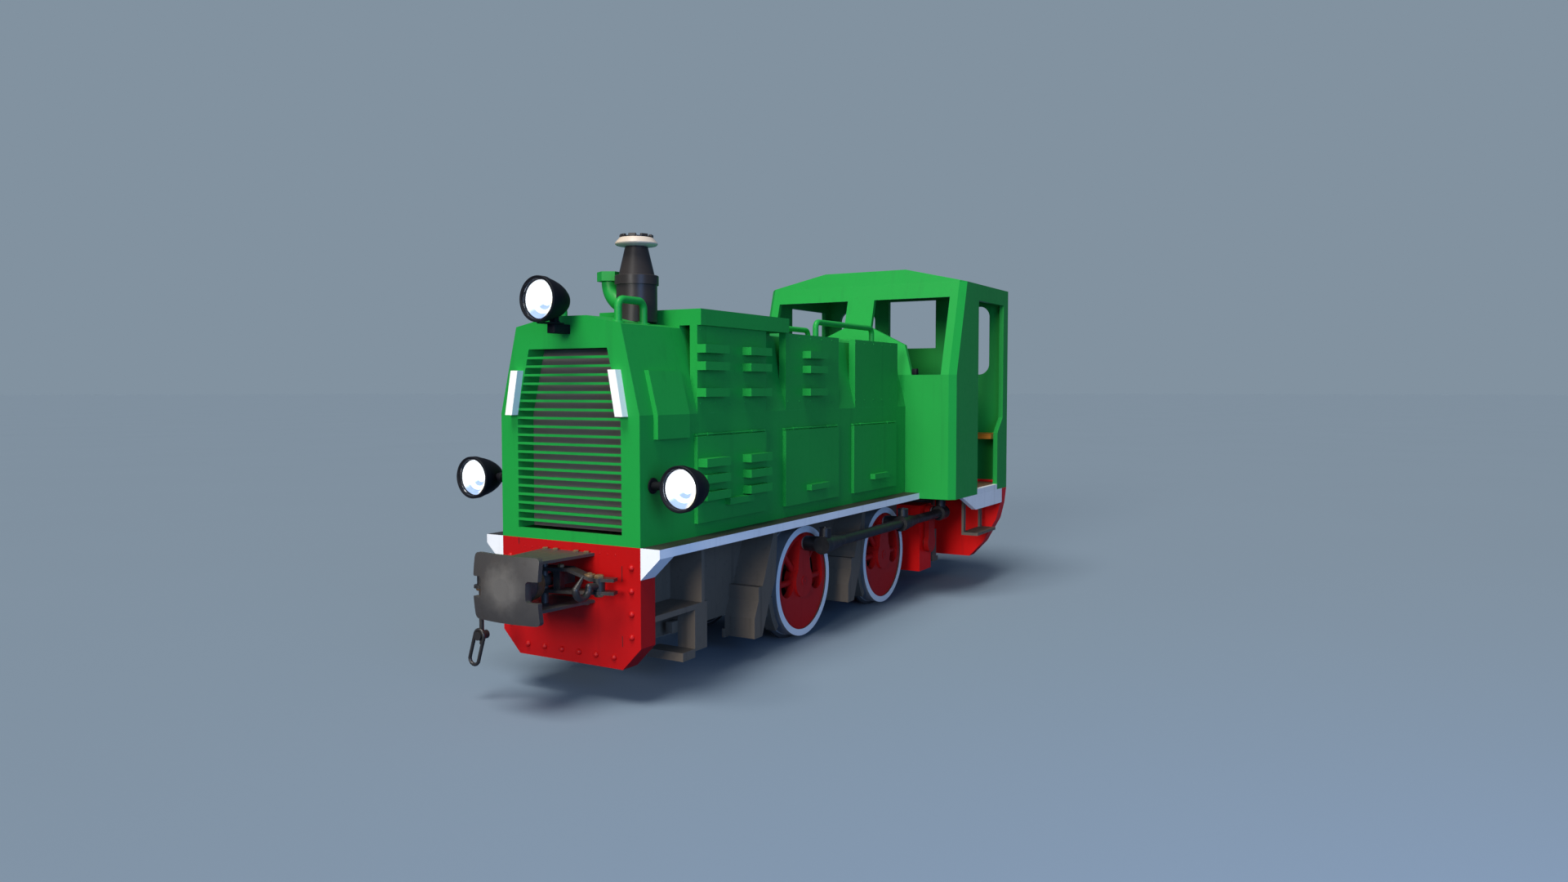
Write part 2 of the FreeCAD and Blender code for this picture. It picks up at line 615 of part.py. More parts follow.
def windscreen_zone(grow):
    """Region ahead of the line where the front panel meets the sides."""
    c = CAB_CHAMFER + grow
    foot, top = CAB_FOOT_UP - 5, CAB_EAVE_UP + 5
    rake_top = CAB_RAKE * (top - CAB_SILL_UP) / (CAB_EAVE_UP - CAB_SILL_UP)
    outline = [(at(HOOD_LEN + c), up(foot)), (at(HOOD_LEN + c), up(CAB_SILL_UP)),
               (at(HOOD_LEN + c + rake_top), up(top)), (at(HOOD_LEN) + 50, up(top)),
               (at(HOOD_LEN) + 50, up(foot))]
    return prism_y(outline, -CAB_HALF - 5, CAB_HALF + 5)


SCREEN = ((128.0, 1640.0), (823.0, 1640.0), (823.0, CAB_SILL_UP), (564.0, CAB_SILL_UP),
          (470.0, 1240.0), (128.0, 1400.0))            # (y, up) of the left front window
REAR_MID_WINDOW = (245.0, 1262.0, 1720.0)              # (half width, up low, up high)
REAR_SIDE_WINDOW = (394.0, 780.0, 1004.0, 1640.0)      # (y in, y out, up low, up high)
REAR_WINDOW_R = 100.0
DOORWAY = ((800.0, 0.0), (800.0, 1632.0), (125.0, 1632.0), (125.0, 605.0), (270.0, 470.0),
           (270.0, 0.0))                               # (ahead of the cab's rear face, up)


def rounded_window(y0, y1, z0, z1, radius):
    """Cutter for a window with rounded corners in the rear wall."""
    x0 = at(CAB_BACK) - 5
    cutter = box(x0, x0 + CAB_WALL + 10, y0, y1, up(z0), up(z1))
    edges = [e for e in cutter.Edges if abs(e.Vertexes[0].Point.x - e.Vertexes[1].Point.x) > 1]
    return cutter.makeFillet(radius, edges)


def cab_walls():
    """Front, side and rear walls, split where the real panels meet."""
    shell = cab_block().cut(cab_block(CAB_WALL, CAB_FOOT_UP - 1, CAB_EAVE_UP + 1))
    zone = windscreen_zone(0.0)
    front = shell.common(zone)
    window = prism_x([(y, up(z)) for y, z in SCREEN], at(HOOD_LEN) + CAB_WALL,
                     at(HOOD_LEN + CAB_RAKE) - 2 * CAB_WALL)
    front = front.cut(window).cut(mirror(window))
    rest = shell.cut(zone)
    rear_zone = box(at(CAB_BACK) - 5, at(CAB_BACK) + CAB_WALL, -CAB_HALF - 5, CAB_HALF + 5,
                    up(CAB_FOOT_UP) - 5, up(CAB_EAVE_UP) + 5)
    rear = rest.common(rear_zone)
    half, low, high = REAR_MID_WINDOW
    rear = rear.cut(box(at(CAB_BACK) - 5, at(CAB_BACK) + CAB_WALL + 5, -half, half, up(low), up(high)))
    side_window = rounded_window(*REAR_SIDE_WINDOW, REAR_WINDOW_R)
    rear = rear.cut(side_window).cut(mirror(side_window))
    doorway = prism_y([(ahead_of_rear(a), up(z)) for a, z in DOORWAY], CAB_HALF + 5, CAB_HALF - CAB_WALL - 5)
    left_zone = box(at(CAB_BACK) + CAB_WALL, at(HOOD_LEN), 1, CAB_HALF + 5,
                    up(CAB_FOOT_UP) - 5, up(CAB_EAVE_UP) + 5)
    left = rest.common(left_zone).cut(doorway)
    keep("cab_front", front)
    keep("cab_left", left)
    keep("cab_right", mirror(left))
    keep("cab_rear", rear)


def cab_roof():
    """Three-facet roof with a slightly raked front end, hollow below."""
    front = at(HOOD_LEN + CAB_RAKE)
    rear = at(CAB_BACK)
    outer = [(CAB_HALF, up(CAB_EAVE_UP)), (-CAB_HALF, up(CAB_EAVE_UP)),
             (-ROOF_FLAT_HALF, up(ROOF_UP)), (ROOF_FLAT_HALF, up(ROOF_UP))]
    corner = CAB_HALF - CAB_CHAMFER
    t, lip = CAB_WALL, ROOF_LIP
    inner = [(CAB_HALF - t - lip, up(CAB_EAVE_UP)), (t + lip - CAB_HALF, up(CAB_EAVE_UP)),
             (-ROOF_FLAT_HALF, up(ROOF_UP) - t), (ROOF_FLAT_HALF, up(ROOF_UP) - t)]
    solid = prism_x(outer, rear, front)
    wedge = prism_y([(front, up(CAB_EAVE_UP)), (front - ROOF_RAKE, up(ROOF_UP)),
                     (front + 5, up(ROOF_UP) + 5), (front + 5, up(CAB_EAVE_UP))],
                    -CAB_HALF - 5, CAB_HALF + 5)
    solid = solid.cut(wedge)
    ear = prism_z([(front + 1, corner), (front - CAB_CHAMFER, CAB_HALF + 1),
                   (front + 1, CAB_HALF + 1)], up(CAB_EAVE_UP) - 1, up(ROOF_UP))
    solid = solid.cut(ear).cut(mirror(ear))
    return solid.cut(prism_x(inner, rear + t, front - ROOF_RAKE - t))


FLOOR_T = 47.0
BENCH_UP = (415.0, 460.0)
BENCH_DEPTH = 300.0
BENCH_LEG = (485.0, 30.0, 260.0)    # (inner face from the centre line, thickness, depth)
DESK = (260.0, 400.0, 900.0)        # (depth, half width, up)


def cab_floor():
    """Floor plate inside the cab walls."""
    t = CAB_WALL
    outline = [(at(HOOD_LEN) - t, CAB_HALF - t - CAB_CHAMFER), (at(HOOD_LEN) - t - CAB_CHAMFER, CAB_HALF - t),
               (at(CAB_BACK) + t, CAB_HALF - t)]
    full = outline + [(x, -y) for x, y in reversed(outline)]
    return prism_z(full, up(CAB_FOOT_UP), up(CAB_FOOT_UP + FLOOR_T))


def bench():
    """Wooden bench across the rear of the cab on two supports."""
    rear = at(CAB_BACK) + CAB_WALL
    half = CAB_HALF - CAB_WALL
    seat = box(rear, rear + BENCH_DEPTH, -half, half, up(BENCH_UP[0]), up(BENCH_UP[1]))
    inner, thick, depth = BENCH_LEG
    leg = box(rear, rear + depth, inner, inner + thick, up(CAB_FOOT_UP + FLOOR_T), up(BENCH_UP[0]))
    return fuse([seat, leg, mirror(leg)])


def control_desk():
    """Driver's desk against the front wall."""
    depth, half, top = DESK
    x = at(HOOD_LEN) - CAB_WALL
    return box(x, x - depth, -half, half, up(CAB_FOOT_UP + FLOOR_T), up(top))


SILL_T = 40.0
SILL_H = 131.0
SILL_FOOT_UP = CAB_FOOT_UP - SILL_H
# (ahead of the cab's rear face, up) of the sill strip's outline
SILL = ((1159.0, CAB_FOOT_UP), (830.0, SILL_FOOT_UP), (0.0, SILL_FOOT_UP), (0.0, CAB_FOOT_UP))


def door_sills():
    """White sill strips below the cab doorways."""
    strip = prism_y([(ahead_of_rear(a), up(z)) for a, z in SILL], CAB_HALF - SILL_T, CAB_HALF)
    beam_room = box(at(CAB_BACK) - 5, at(CAB_BACK - BEAM_T), 0, CAB_HALF + 5, up(SILL_FOOT_UP) - 5,
                    up(CAB_FOOT_UP))
    return both(strip.cut(beam_room))


# ---------------------------------------------------------------- engine and drive
ENGINE = (700.0, 1315.0, 300.0, 850.0)     # (behind the nose, ahead of the cab, half width, up)


def engine():
    """Engine and gearbox as one plain block on the deck."""
    front, rear, half, top = ENGINE
    return box(at(front), at(HOOD_LEN - rear), -half, half, up(0), up(top))


def final_drive():
    """Final-drive case with the jackshaft bore."""
    case = box(at(DRIVE_BACK[0]), at(DRIVE_BACK[1]), -DRIVE_HALF, DRIVE_HALF,
               up(DRIVE_UP[0]), up(DRIVE_UP[1]))
    bore = rod(AXLE_R + AXLE_CLEAR, (JACK_X, -DRIVE_HALF - 1, AXLE_Z), (JACK_X, DRIVE_HALF + 1, AXLE_Z))
    return case.cut(bore)


# ---------------------------------------------------------------- wheels and rods
def pin_places(axle_x):
    """Crank-pin centres (left, right) at rest: left at the top, right a quarter turn ahead."""
    return (axle_x, AXLE_Z + CRANK_R), (axle_x + CRANK_R, AXLE_Z)


COLLAR_GAP = 1.0         # side play between a pin's collar and the rod's sleeve
PIN_LAP = 5.0            # how far a pin's foot reaches into its web


def crank_pin(x, z, web_y):
    """Left crank pin on the web's outer face: a short collar and the journal that the rod runs on."""
    foot = web_y - PIN_LAP
    collar = rod(PIN_COLLAR_R, (x, foot, z), (x, web_y + SLEEVE_GAP - COLLAR_GAP, z))
    journal = rod(PIN_R, (x, foot, z), (x, ROD_Y + PIN_DEPTH, z))
    return fuse([collar, journal])


SPOKES_DEG = (0.0, 45.0, 135.0, 180.0)
SPOKE_R = 22.0
RIM_T = 40.0
SEAT_R = WHEEL_R - TYRE_T
CENTRE_Y = (TYRE_FACE - TYRE_W + 8.0, TYRE_FACE - 12.0)   # inner and outer face of the centre
HUB_OUT = 5.0            # hub and crank web stand out of the tyre's face
WEIGHT_BACK = 30.0       # back of the counterweight from the centre's inner face
WEB_HALF = (96.0, 62.0)  # half width of the crank web at the hub, at the pin
WEB_EYE_R = 66.0


def crank_web(x, z, y0, y1, foot_half, foot_r):
    """Left crank web that tapers from the hub at (x, z) up to the pin's eye."""
    top = z + CRANK_R
    outline = [(x - foot_half, z), (x + foot_half, z), (x + WEB_HALF[1], top), (x - WEB_HALF[1], top)]
    return fuse([prism_y(outline, y0, y1), rod(foot_r, (x, y0, z), (x, y1, z)),
                 rod(WEB_EYE_R, (x, y0, top), (x, y1, top))])


def wheel_centre(axle_x):
    """Left wheel centre, crank upwards: rim, hub, spokes, crank web and scalloped counterweight."""
    y_in, y_out = CENTRE_Y
    mid_y = (y_in + y_out) / 2
    x, z = axle_x, AXLE_Z
    rim_in = SEAT_R - RIM_T
    rim = rod(SEAT_R, (x, y_in, z), (x, y_out, z)).cut(rod(rim_in, (x, y_in - 1, z), (x, y_out + 1, z)))
    weight = rod(SEAT_R - 1, (x, y_in + WEIGHT_BACK, z), (x, y_out, z))
    weight = weight.cut(box(x - SEAT_R, x + SEAT_R, y_in, y_out + 1, z, z + SEAT_R))
    gap_r = (rim_in - HUB_R) / 2
    for side in (1, -1):
        mid = x + side * (HUB_R + gap_r)
        weight = weight.cut(rod(gap_r, (mid, y_in, z), (mid, y_out + 1, z)))
    spokes = []
    for deg in SPOKES_DEG:
        a = math.radians(deg)
        reach = SEAT_R - RIM_T / 2
        spokes.append(rod(SPOKE_R, (x, mid_y, z), (x + reach * math.cos(a), mid_y, z + reach * math.sin(a))))
    web = crank_web(x, z, y_in, TYRE_FACE + HUB_OUT, WEB_HALF[0], HUB_R)
    return fuse([rim, weight, web] + spokes)


def turned(shape, axle_x, degrees):
    """Shape turned about a cross axle."""
    out = shape.copy()
    out.rotate(Vector(axle_x, 0, AXLE_Z), Vector(0, 1, 0), degrees)
    return out


def wheelset(axle_x):
    """Axle, both wheel centres and their crank pins, the right side a quarter turn ahead."""
    left = fuse([wheel_centre(axle_x), crank_pin(axle_x, AXLE_Z + CRANK_R, TYRE_FACE + HUB_OUT)])
    right = turned(mirror(left), axle_x, 90)
    axle = rod(AXLE_R, (axle_x, -TYRE_FACE, AXLE_Z), (axle_x, TYRE_FACE, AXLE_Z))
    return fuse([left, right, axle])


def tyres(axle_x):
    """Flanged tyres of one wheelset."""
    y_in = TYRE_FACE - TYRE_W - FLANGE_W
    # (distance from the centre line, radius) of the tyre's section
    section = [(y_in, SEAT_R), (TYRE_FACE, SEAT_R), (TYRE_FACE, WHEEL_R), (y_in + FLANGE_W, WHEEL_R),
               (y_in + FLANGE_TIP_W, WHEEL_R + FLANGE_H), (y_in, WHEEL_R + FLANGE_H)]
    wire = Part.makePolygon([Vector(axle_x, y, AXLE_Z + r) for y, r in section + section[:1]])
    ring = Part.Face(wire).revolve(Vector(axle_x, 0, AXLE_Z), Vector(0, 1, 0), 360)
    return both(Part.Solid(ring) if ring.ShapeType != "Solid" else ring)


JACK_WEB_Y = (DRIVE_HALF + 10.0, DRIVE_HALF + 55.0)
JACK_HUB_R = 85.0
JACK_WEB_HALF = 70.0     # half width of the jackshaft's crank at the shaft


def jackshaft():
    """Jackshaft with its two cranks."""
    y0, y1 = JACK_WEB_Y
    web = crank_web(JACK_X, AXLE_Z, y0, y1, JACK_WEB_HALF, JACK_HUB_R)
    left = fuse([web, crank_pin(JACK_X, AXLE_Z + CRANK_R, y1)])
    right = turned(mirror(left), JACK_X, 90)
    shaft = rod(AXLE_R, (JACK_X, -y1, AXLE_Z), (JACK_X, y1, AXLE_Z))
    return fuse([left, right, shaft])


def rod_boss(x, z, web_y, last):
    """Left boss of a coupling rod: barrel along the rod, sleeve round the pin and an oil cup."""
    barrel = rod(BOSS_R, (x + BOSS_AHEAD, ROD_Y, z), (x - BOSS_AHEAD if last else x, ROD_Y, z))
    pieces = [barrel, rod(SLEEVE_R, (x, web_y + SLEEVE_GAP, z), (x, ROD_Y, z)),
              rod(CUP_R, (x, ROD_Y, z), (x, ROD_Y, z + CUP_TOP))]
    if not last:
        pieces.append(cone(BOSS_R, ROD_R, (x, ROD_Y, z), (x - BOSS_TAPER, ROD_Y, z)))
    return fuse(pieces)


def coupling_rod(side):
    """Coupling rod over three crank pins, each in a blind bore; side is 1 left, -1 right."""
    webs = (TYRE_FACE + HUB_OUT, TYRE_FACE + HUB_OUT, JACK_WEB_Y[1])
    axles = (FRONT_AXLE_X, REAR_AXLE_X, JACK_X)
    pins = [pin_places(x)[0 if side > 0 else 1] for x in axles]
    z = pins[0][1]
    pieces = [rod(ROD_R, (pins[0][0], ROD_Y, z), (pins[-1][0], ROD_Y, z))]
    for (x, _), axle_x, web_y in zip(pins, axles, webs):
        pieces.append(rod_boss(x, z, web_y, axle_x == JACK_X))
    shape = fuse(pieces)
    for (x, _), axle_x, web_y in zip(pins, axles, webs):
        clear = PIN_CLEAR if axle_x == FRONT_AXLE_X else OPEN_PIN_CLEAR
        shape = shape.cut(rod(PIN_R + clear, (x, web_y, z), (x, ROD_Y + PIN_DEPTH + BORE_PAST, z)))
    return shape if side > 0 else mirror(shape)


def axleboxes():
    """Four axle boxes in the frame slots."""
    shapes = []
    for x in (FRONT_AXLE_X, REAR_AXLE_X):
        block = box(x - AXLEBOX_HALF, x + AXLEBOX_HALF, FRAME_Y[0] - AXLEBOX_OUT,
                    FRAME_Y[1] + AXLEBOX_OUT, up(FRAME_FOOT_UP), up(AXLEBOX_TOP_UP))
        bore = rod(AXLE_R + AXLE_CLEAR, (x, 0, AXLE_Z), (x, FRAME_Y[1] + 2 * AXLEBOX_OUT, AXLE_Z))
        shapes.append(both(block.cut(bore)))
    return Part.makeCompound(shapes)


# ---------------------------------------------------------------- brakes, sand boxes, steps
SAND_Y = (FRAME_Y[1], 510.0)
# (ahead of the axle, up) of the sand box's side outline
SAND_SIDE = ((477.0, -BOARD_T), (633.0, -419.0), (685.0, -419.0), (685.0, -508.0), (736.0, -616.0),
             (736.0, -748.0), (640.0, -748.0), (560.0, -560.0), (470.0, -400.0), (440.0, -BOARD_T))


def sand_box(axle_x):
    """Left stepped sand box ahead of a wheel."""
    outline = [(axle_x + ahead, up(z)) for ahead, z in SAND_SIDE]
    return prism_y(outline, SAND_Y[0], SAND_Y[1])


def sand_boxes():
    """Four sand boxes, one ahead of each wheel."""
    return Part.makeCompound([both(sand_box(x)) for x in (FRONT_AXLE_X, REAR_AXLE_X)])


SHOE_GAP = 8.0
SHOE_T = 45.0
SHOE_DEG = (-38.0, -6.0)
SHOE_Y = (375.0, 455.0)
HANGER_Y = (400.0, 430.0)
# (ahead of the axle, up) of the brake hanger's side outline
HANGER_SIDE = ((452.0, -300.0), (480.0, -300.0), (560.0, -500.0), (500.0, -690.0), (420.0, -650.0),
               (455.0, -486.0))


def brake_shoe(axle_x):
    """Left brake block ahead of a wheel with its hanger."""
    r0, r1 = WHEEL_R + FLANGE_H + SHOE_GAP, WHEEL_R + FLANGE_H + SHOE_GAP + SHOE_T
    ring = rod(r1, (axle_x, SHOE_Y[0], AXLE_Z), (axle_x, SHOE_Y[1], AXLE_Z)).cut(
        rod(r0, (axle_x, SHOE_Y[0] - 1, AXLE_Z), (axle_x, SHOE_Y[1] + 1, AXLE_Z)))
    a, b = (math.radians(d) for d in SHOE_DEG)
    reach = 2 * WHEEL_R
    wedge = prism_y([(axle_x, AXLE_Z), (axle_x + reach * math.cos(a), AXLE_Z + reach * math.sin(a)),
                     (axle_x + reach * math.cos(b), AXLE_Z + reach * math.sin(b))],
                    SHOE_Y[0] - 1, SHOE_Y[1] + 1)
    hanger = prism_y([(axle_x + ahead, up(z)) for ahead, z in HANGER_SIDE], *HANGER_Y)
    tread_clear = rod(r0, (axle_x, 0, AXLE_Z), (axle_x, TYRE_FACE, AXLE_Z))
    return fuse([ring.common(wedge), hanger.cut(tread_clear)]).cut(sand_box(axle_x))


def brake_gear():
    """Four brake blocks on hangers behind the sand boxes."""
    return Part.makeCompound([both(brake_shoe(x)) for x in (FRONT_AXLE_X, REAR_AXLE_X)])


STEP_Y = (FRAME_Y[1], 510.0)
# (back front, back rear, y in, y out, up low, up high): back panel, shelf, hanger block, tread
FRONT_STEP = ((587.0, 617.0, STEP_Y[0], STEP_Y[1], -400.0, -BOARD_T),
              (BEAM_T, 643.0, STEP_Y[0], STEP_Y[1], -432.0, -400.0),
              (517.0, 643.0, 385.0, STEP_Y[1], -680.0, -430.0),
              (394.0, 519.0, 250.0, STEP_Y[1], -717.0, -666.0))
# the same columns, measured ahead of the cab's rear face: two hangers and the tread
REAR_STEP = ((740.0, 690.0, 780.0, 800.0, -420.0, CAB_FOOT_UP),
             (310.0, 260.0, 780.0, 800.0, -420.0, CAB_FOOT_UP),
             (740.0, 260.0, 780.0, 930.0, -420.0, -395.0))
# the same columns, measured behind the jackshaft: bracket plate, block and toe
REAR_HANGER = ((200.0, 230.0, FRAME_Y[1], 490.0, -420.0, -BOARD_T),
               (200.0, 270.0, 410.0, 490.0, -690.0, -400.0),
               (270.0, 310.0, 410.0, 490.0, -690.0, -650.0))


def block_row(row, place):
    """Block from one table row; place turns its lengths into X."""
    b0, b1, y0, y1, z0, z1 = row
    return box(place(b0), place(b1), y0, y1, up(z0), up(z1))


def behind_jackshaft(distance):
    """X of a place this far behind the jackshaft."""
    return JACK_X - distance


def steps(table, place):
    """One step or hanger on each side, built from a table of blocks."""
    return both(fuse([block_row(row, place) for row in table]))


# ---------------------------------------------------------------- couplers
COUPLER_UP = -190.0
HEAD_HALF = 231.0
HEAD_HALF_H = 180.0
HEAD_R = 900.0                 # radius of the curved face
HEAD_T = 30.0
HEAD_DEPTH = 62.0              # from the face back to the cheeks
HEAD_CORNER = 26.0
HEAD_WORN = 2.0                # depth of the worn flat on the crown of the head
NOTCH = (160.0, 57.0)          # (half width left in the notch, half height of the notch)
NOTCH_CORNER = 18.0
DRAFT_PLATE_T = 16.0
PLATES_FROM_MID = (124.0, -140.0)     # underside of each draft plate from the coupler's middle
DRAFT_PLATES_UP = [COUPLER_UP + offset for offset in PLATES_FROM_MID]
PLATE_HALF = (188.0, 128.0)    # at the beam, at the head
PLATE_REACH = BUFFER_REACH - HEAD_DEPTH
CHEEK_T = 16.0
CHEEK_LAP = 30.0               # cheeks lap the ends of the plates
YOKE = (102.0, 44.0, 36.0)     # (reach ahead of the beam, half width, half height)
# (reach ahead of the beam, radius) of the shank: behind the lever, through it, and up to the head
SHANK_REAR = ((101.0, 18.0), (146.0, 34.0))
SHANK_NECK = ((145.0, 34.0), (286.0, 34.0))
SHANK_FRONT = ((285.0, 80.0), (514.0, 118.0))
PIVOT_REACH = 200.0
PIVOT_R = 20.0
PIVOT_CLEAR = 0.08
LEVER_T = 18.0
LEVER_FROM_MID = (12.0, -60.0)        # underside of each lever plate from the coupler's middle
LEVER_UP = [COUPLER_UP + offset for offset in LEVER_FROM_MID]
LEVER_MID_UP = (LEVER_UP[0] + LEVER_UP[1] + LEVER_T) / 2
LEVER_END = (-110.0, 410.0)    # near end from the pivot (forward, left); the far end mirrors it
LEVER_HALF_W = (52.0, 27.0)    # half width at the pivot, along the arms
LEVER_RAISE = (50.0, 0.0)      # the middle of each plate stands this far above its ends
LEVER_KNEES = (0.37, 0.68)     # shares of an arm where its plates leave and reach the lower level
LEVER_SPACER = (66.0, 106.0)   # distance of a spacer's two faces from the pivot, along the arm
LEVER_EYE_R = 38.0
HOOK_SHARE = 0.77              # hook pin's place along the near arm
CHAIN_SHARE = -0.93            # shackle pin's place along the far arm
LEVER_PIN_R = 22.0
LEVER_PIN_OUT = 12.0           # how far the end pins stand out of the lever
SEAT_GAP = 0.3
PLATE_PLAY = 1.0               # side play of what lies between the lever's plates
HOOK_REACH = 138.0             # hook pin to the middle of the hook's bend
HOOK_RISE = 7.0                # the bend's middle above the pin's
HOOK_R = 54.0
HOOK_T = 20.0
HOOK_EYE_T = 11.0              # wall of the hook's eye round its pin
HOOK_TIP = (-5.0, 62.0, 7.0)   # from the bend's middle (forward, up), radius
CHAIN_T = 13.0
CHAIN_LINK_DROP = 258.0        # pin's lower end to the shackle's bolt
CHAIN_TAIL = 50.0              # the hanging link reaches this far below the bolt
CHAIN_BOLT = (24.5, 36.0)      # (radius, half length)
SHACKLE_T = 10.0
SHACKLE_R = 34.0               # centre line of the shackle's round ends
SHACKLE_LEAN = (42.0, 135.0)   # (inwards, down) from the bolt to the middle of the lower end
SHACKLE_AHEAD = 18.0           # shackle's plane ahead of the hanging link


def lever_place(share):
    """(x, y) on the front lever's centre line, as a share of an arm's length from the pivot."""
    return at(-PIVOT_REACH) + share * LEVER_END[0], share * LEVER_END[1]


def buffer_head():
    """Curved buffer head with rounded corners and a notch in each side."""
    face = at(-BUFFER_REACH)
    z = up(COUPLER_UP)
    rear = face - HEAD_DEPTH - CHEEK_LAP
    slab = box(rear, face, -HEAD_HALF, HEAD_HALF, z - HEAD_HALF_H, z + HEAD_HALF_H)
    corners = [e for e in slab.Edges if abs(e.tangentAt(e.FirstParameter).x) > 0.99]
    slab = slab.makeFillet(HEAD_CORNER, corners)
    for side in (1, -1):
        y0, y1 = side * NOTCH[0], side * (HEAD_HALF + 5)
        notch = box(rear - 5, face + 5, y0, y1, z - NOTCH[1], z + NOTCH[1])
        inner = [e for e in notch.Edges if abs(e.tangentAt(e.FirstParameter).x) > 0.99
                 and abs(e.Vertexes[0].Point.y - y0) < 1]
        slab = slab.cut(notch.makeFillet(NOTCH_CORNER, inner))
    crown = face + HEAD_WORN - HEAD_R
    outer = Part.makeSphere(HEAD_R, Vector(crown, 0, z))
    inner = Part.makeSphere(HEAD_R, Vector(crown - HEAD_T, 0, z))
    return slab.common(outer).cut(inner)


def draft_gear():
    """Front coupler: buffer head, tapered shank, its foot on the beam and the two draft plates."""
    z = up(COUPLER_UP)
    neck = at(-PLATE_REACH)
    low, high = up(DRAFT_PLATES_UP[1]), up(DRAFT_PLATES_UP[0] + DRAFT_PLATE_T)
    yoke = box(at(0), at(-YOKE[0]), -YOKE[1], YOKE[1], z - YOKE[2], z + YOKE[2])
    pieces = [buffer_head(), yoke]
    for (rear, rear_r), (front, front_r) in (SHANK_REAR, SHANK_FRONT):
        pieces.append(cone(rear_r, front_r, (at(-rear), 0, z), (at(-front), 0, z)))
    (rear, neck_r), (front, _) = SHANK_NECK
    pieces.append(rod(neck_r, (at(-rear), 0, z), (at(-front), 0, z)))
    for z_up in DRAFT_PLATES_UP:
        outline = [(at(0), PLATE_HALF[0]), (neck, PLATE_HALF[1]), (neck, -PLATE_HALF[1]),
                   (at(0), -PLATE_HALF[0])]
        pieces.append(prism_z(outline, up(z_up), up(z_up + DRAFT_PLATE_T)))
    for y in (CHEEK_T - PLATE_HALF[1], PLATE_HALF[1]):
        pieces.append(box(neck - CHEEK_LAP, neck, y - CHEEK_T, y, low + 1, high - 1))
    pieces.append(rod(PIVOT_R, (at(-PIVOT_REACH), 0, low), (at(-PIVOT_REACH), 0, high)))
    return fuse(pieces)


def on_lever(along, across, z):
    """Point in the front lever's own frame: along the near arm, across it, at a height."""
    ex, ey = LEVER_END
    length = math.hypot(ex, ey)
    return Vector(at(-PIVOT_REACH) + (along * ex + across * ey) / length,
                  (along * ey - across * ex) / length, z)


def lever_strip(low, rise, length, knees, root, slim):
    """Side outline of a plate pushed across the lever: raised middle, sloping knees, level ends."""
    raised = low + rise
    places = [(-length, low), (-knees[1], low), (-knees[0], raised), (knees[0], raised),
              (knees[1], low), (length, low)]
    under = [on_lever(a, -root, up(z)) for a, z in places]
    over = [on_lever(a, -root, up(z + LEVER_T)) for a, z in reversed(places)]
    wire = Part.makePolygon(under + over + under[:1])
    strip = Part.Face(wire).extrude(on_lever(0, root, 0) - on_lever(0, -root, 0))
    plan = [on_lever(a, w, 0) for a, w in ((-length, slim), (0, root), (length, slim),
                                           (length, -slim), (0, -root), (-length, -slim))]
    cutter = prism_z([(v.x, v.y) for v in plan], up(low) - 1, up(raised + LEVER_T) + 1)
    return strip.common(cutter)


def lever_plate(low, rise):
    """One plate of the lever with a round eye at each pin; rise lifts its middle."""
    length = math.hypot(*LEVER_END)
    knees = [share * length for share in LEVER_KNEES]
    root, slim = LEVER_HALF_W
    pieces = [lever_strip(low, rise, length, knees, root, slim)]
    for share in (HOOK_SHARE, CHAIN_SHARE):
        x, y = lever_place(share)
        pieces.append(rod(LEVER_EYE_R, (x, y, up(low)), (x, y, up(low) + LEVER_T)))
    return fuse(pieces)


def lever_spacer(way):
    """Block between the two plates on one side of the pivot."""
    near, far = (way * d for d in LEVER_SPACER)
    half = LEVER_HALF_W[1]
    plan = [on_lever(a, w, 0) for a, w in ((near, half), (far, half), (far, -half), (near, -half))]
    low = up(LEVER_UP[1] + LEVER_RAISE[1]) + LEVER_T
    high = up(LEVER_UP[0] + LEVER_RAISE[0])
    return prism_z([(v.x, v.y) for v in plan], low - 1, high + 1)


def equaliser():
    """Front equaliser lever: two plates on the pivot, joined by spacers and by a pin near each end."""
    pieces = [lever_plate(low, rise) for low, rise in zip(LEVER_UP, LEVER_RAISE)]
    pieces += [lever_spacer(1), lever_spacer(-1)]
    low, high = up(LEVER_UP[1]) - LEVER_PIN_OUT, up(LEVER_UP[0] + LEVER_T) + LEVER_PIN_OUT
    for share in (HOOK_SHARE, CHAIN_SHARE):
        x, y = lever_place(share)
        pieces.append(rod(LEVER_PIN_R, (x, y, low), (x, y, high)))
    px = at(-PIVOT_REACH)
    return fuse(pieces).cut(rod(PIVOT_R + PIVOT_CLEAR, (px, 0, low - 1), (px, 0, up(0))))


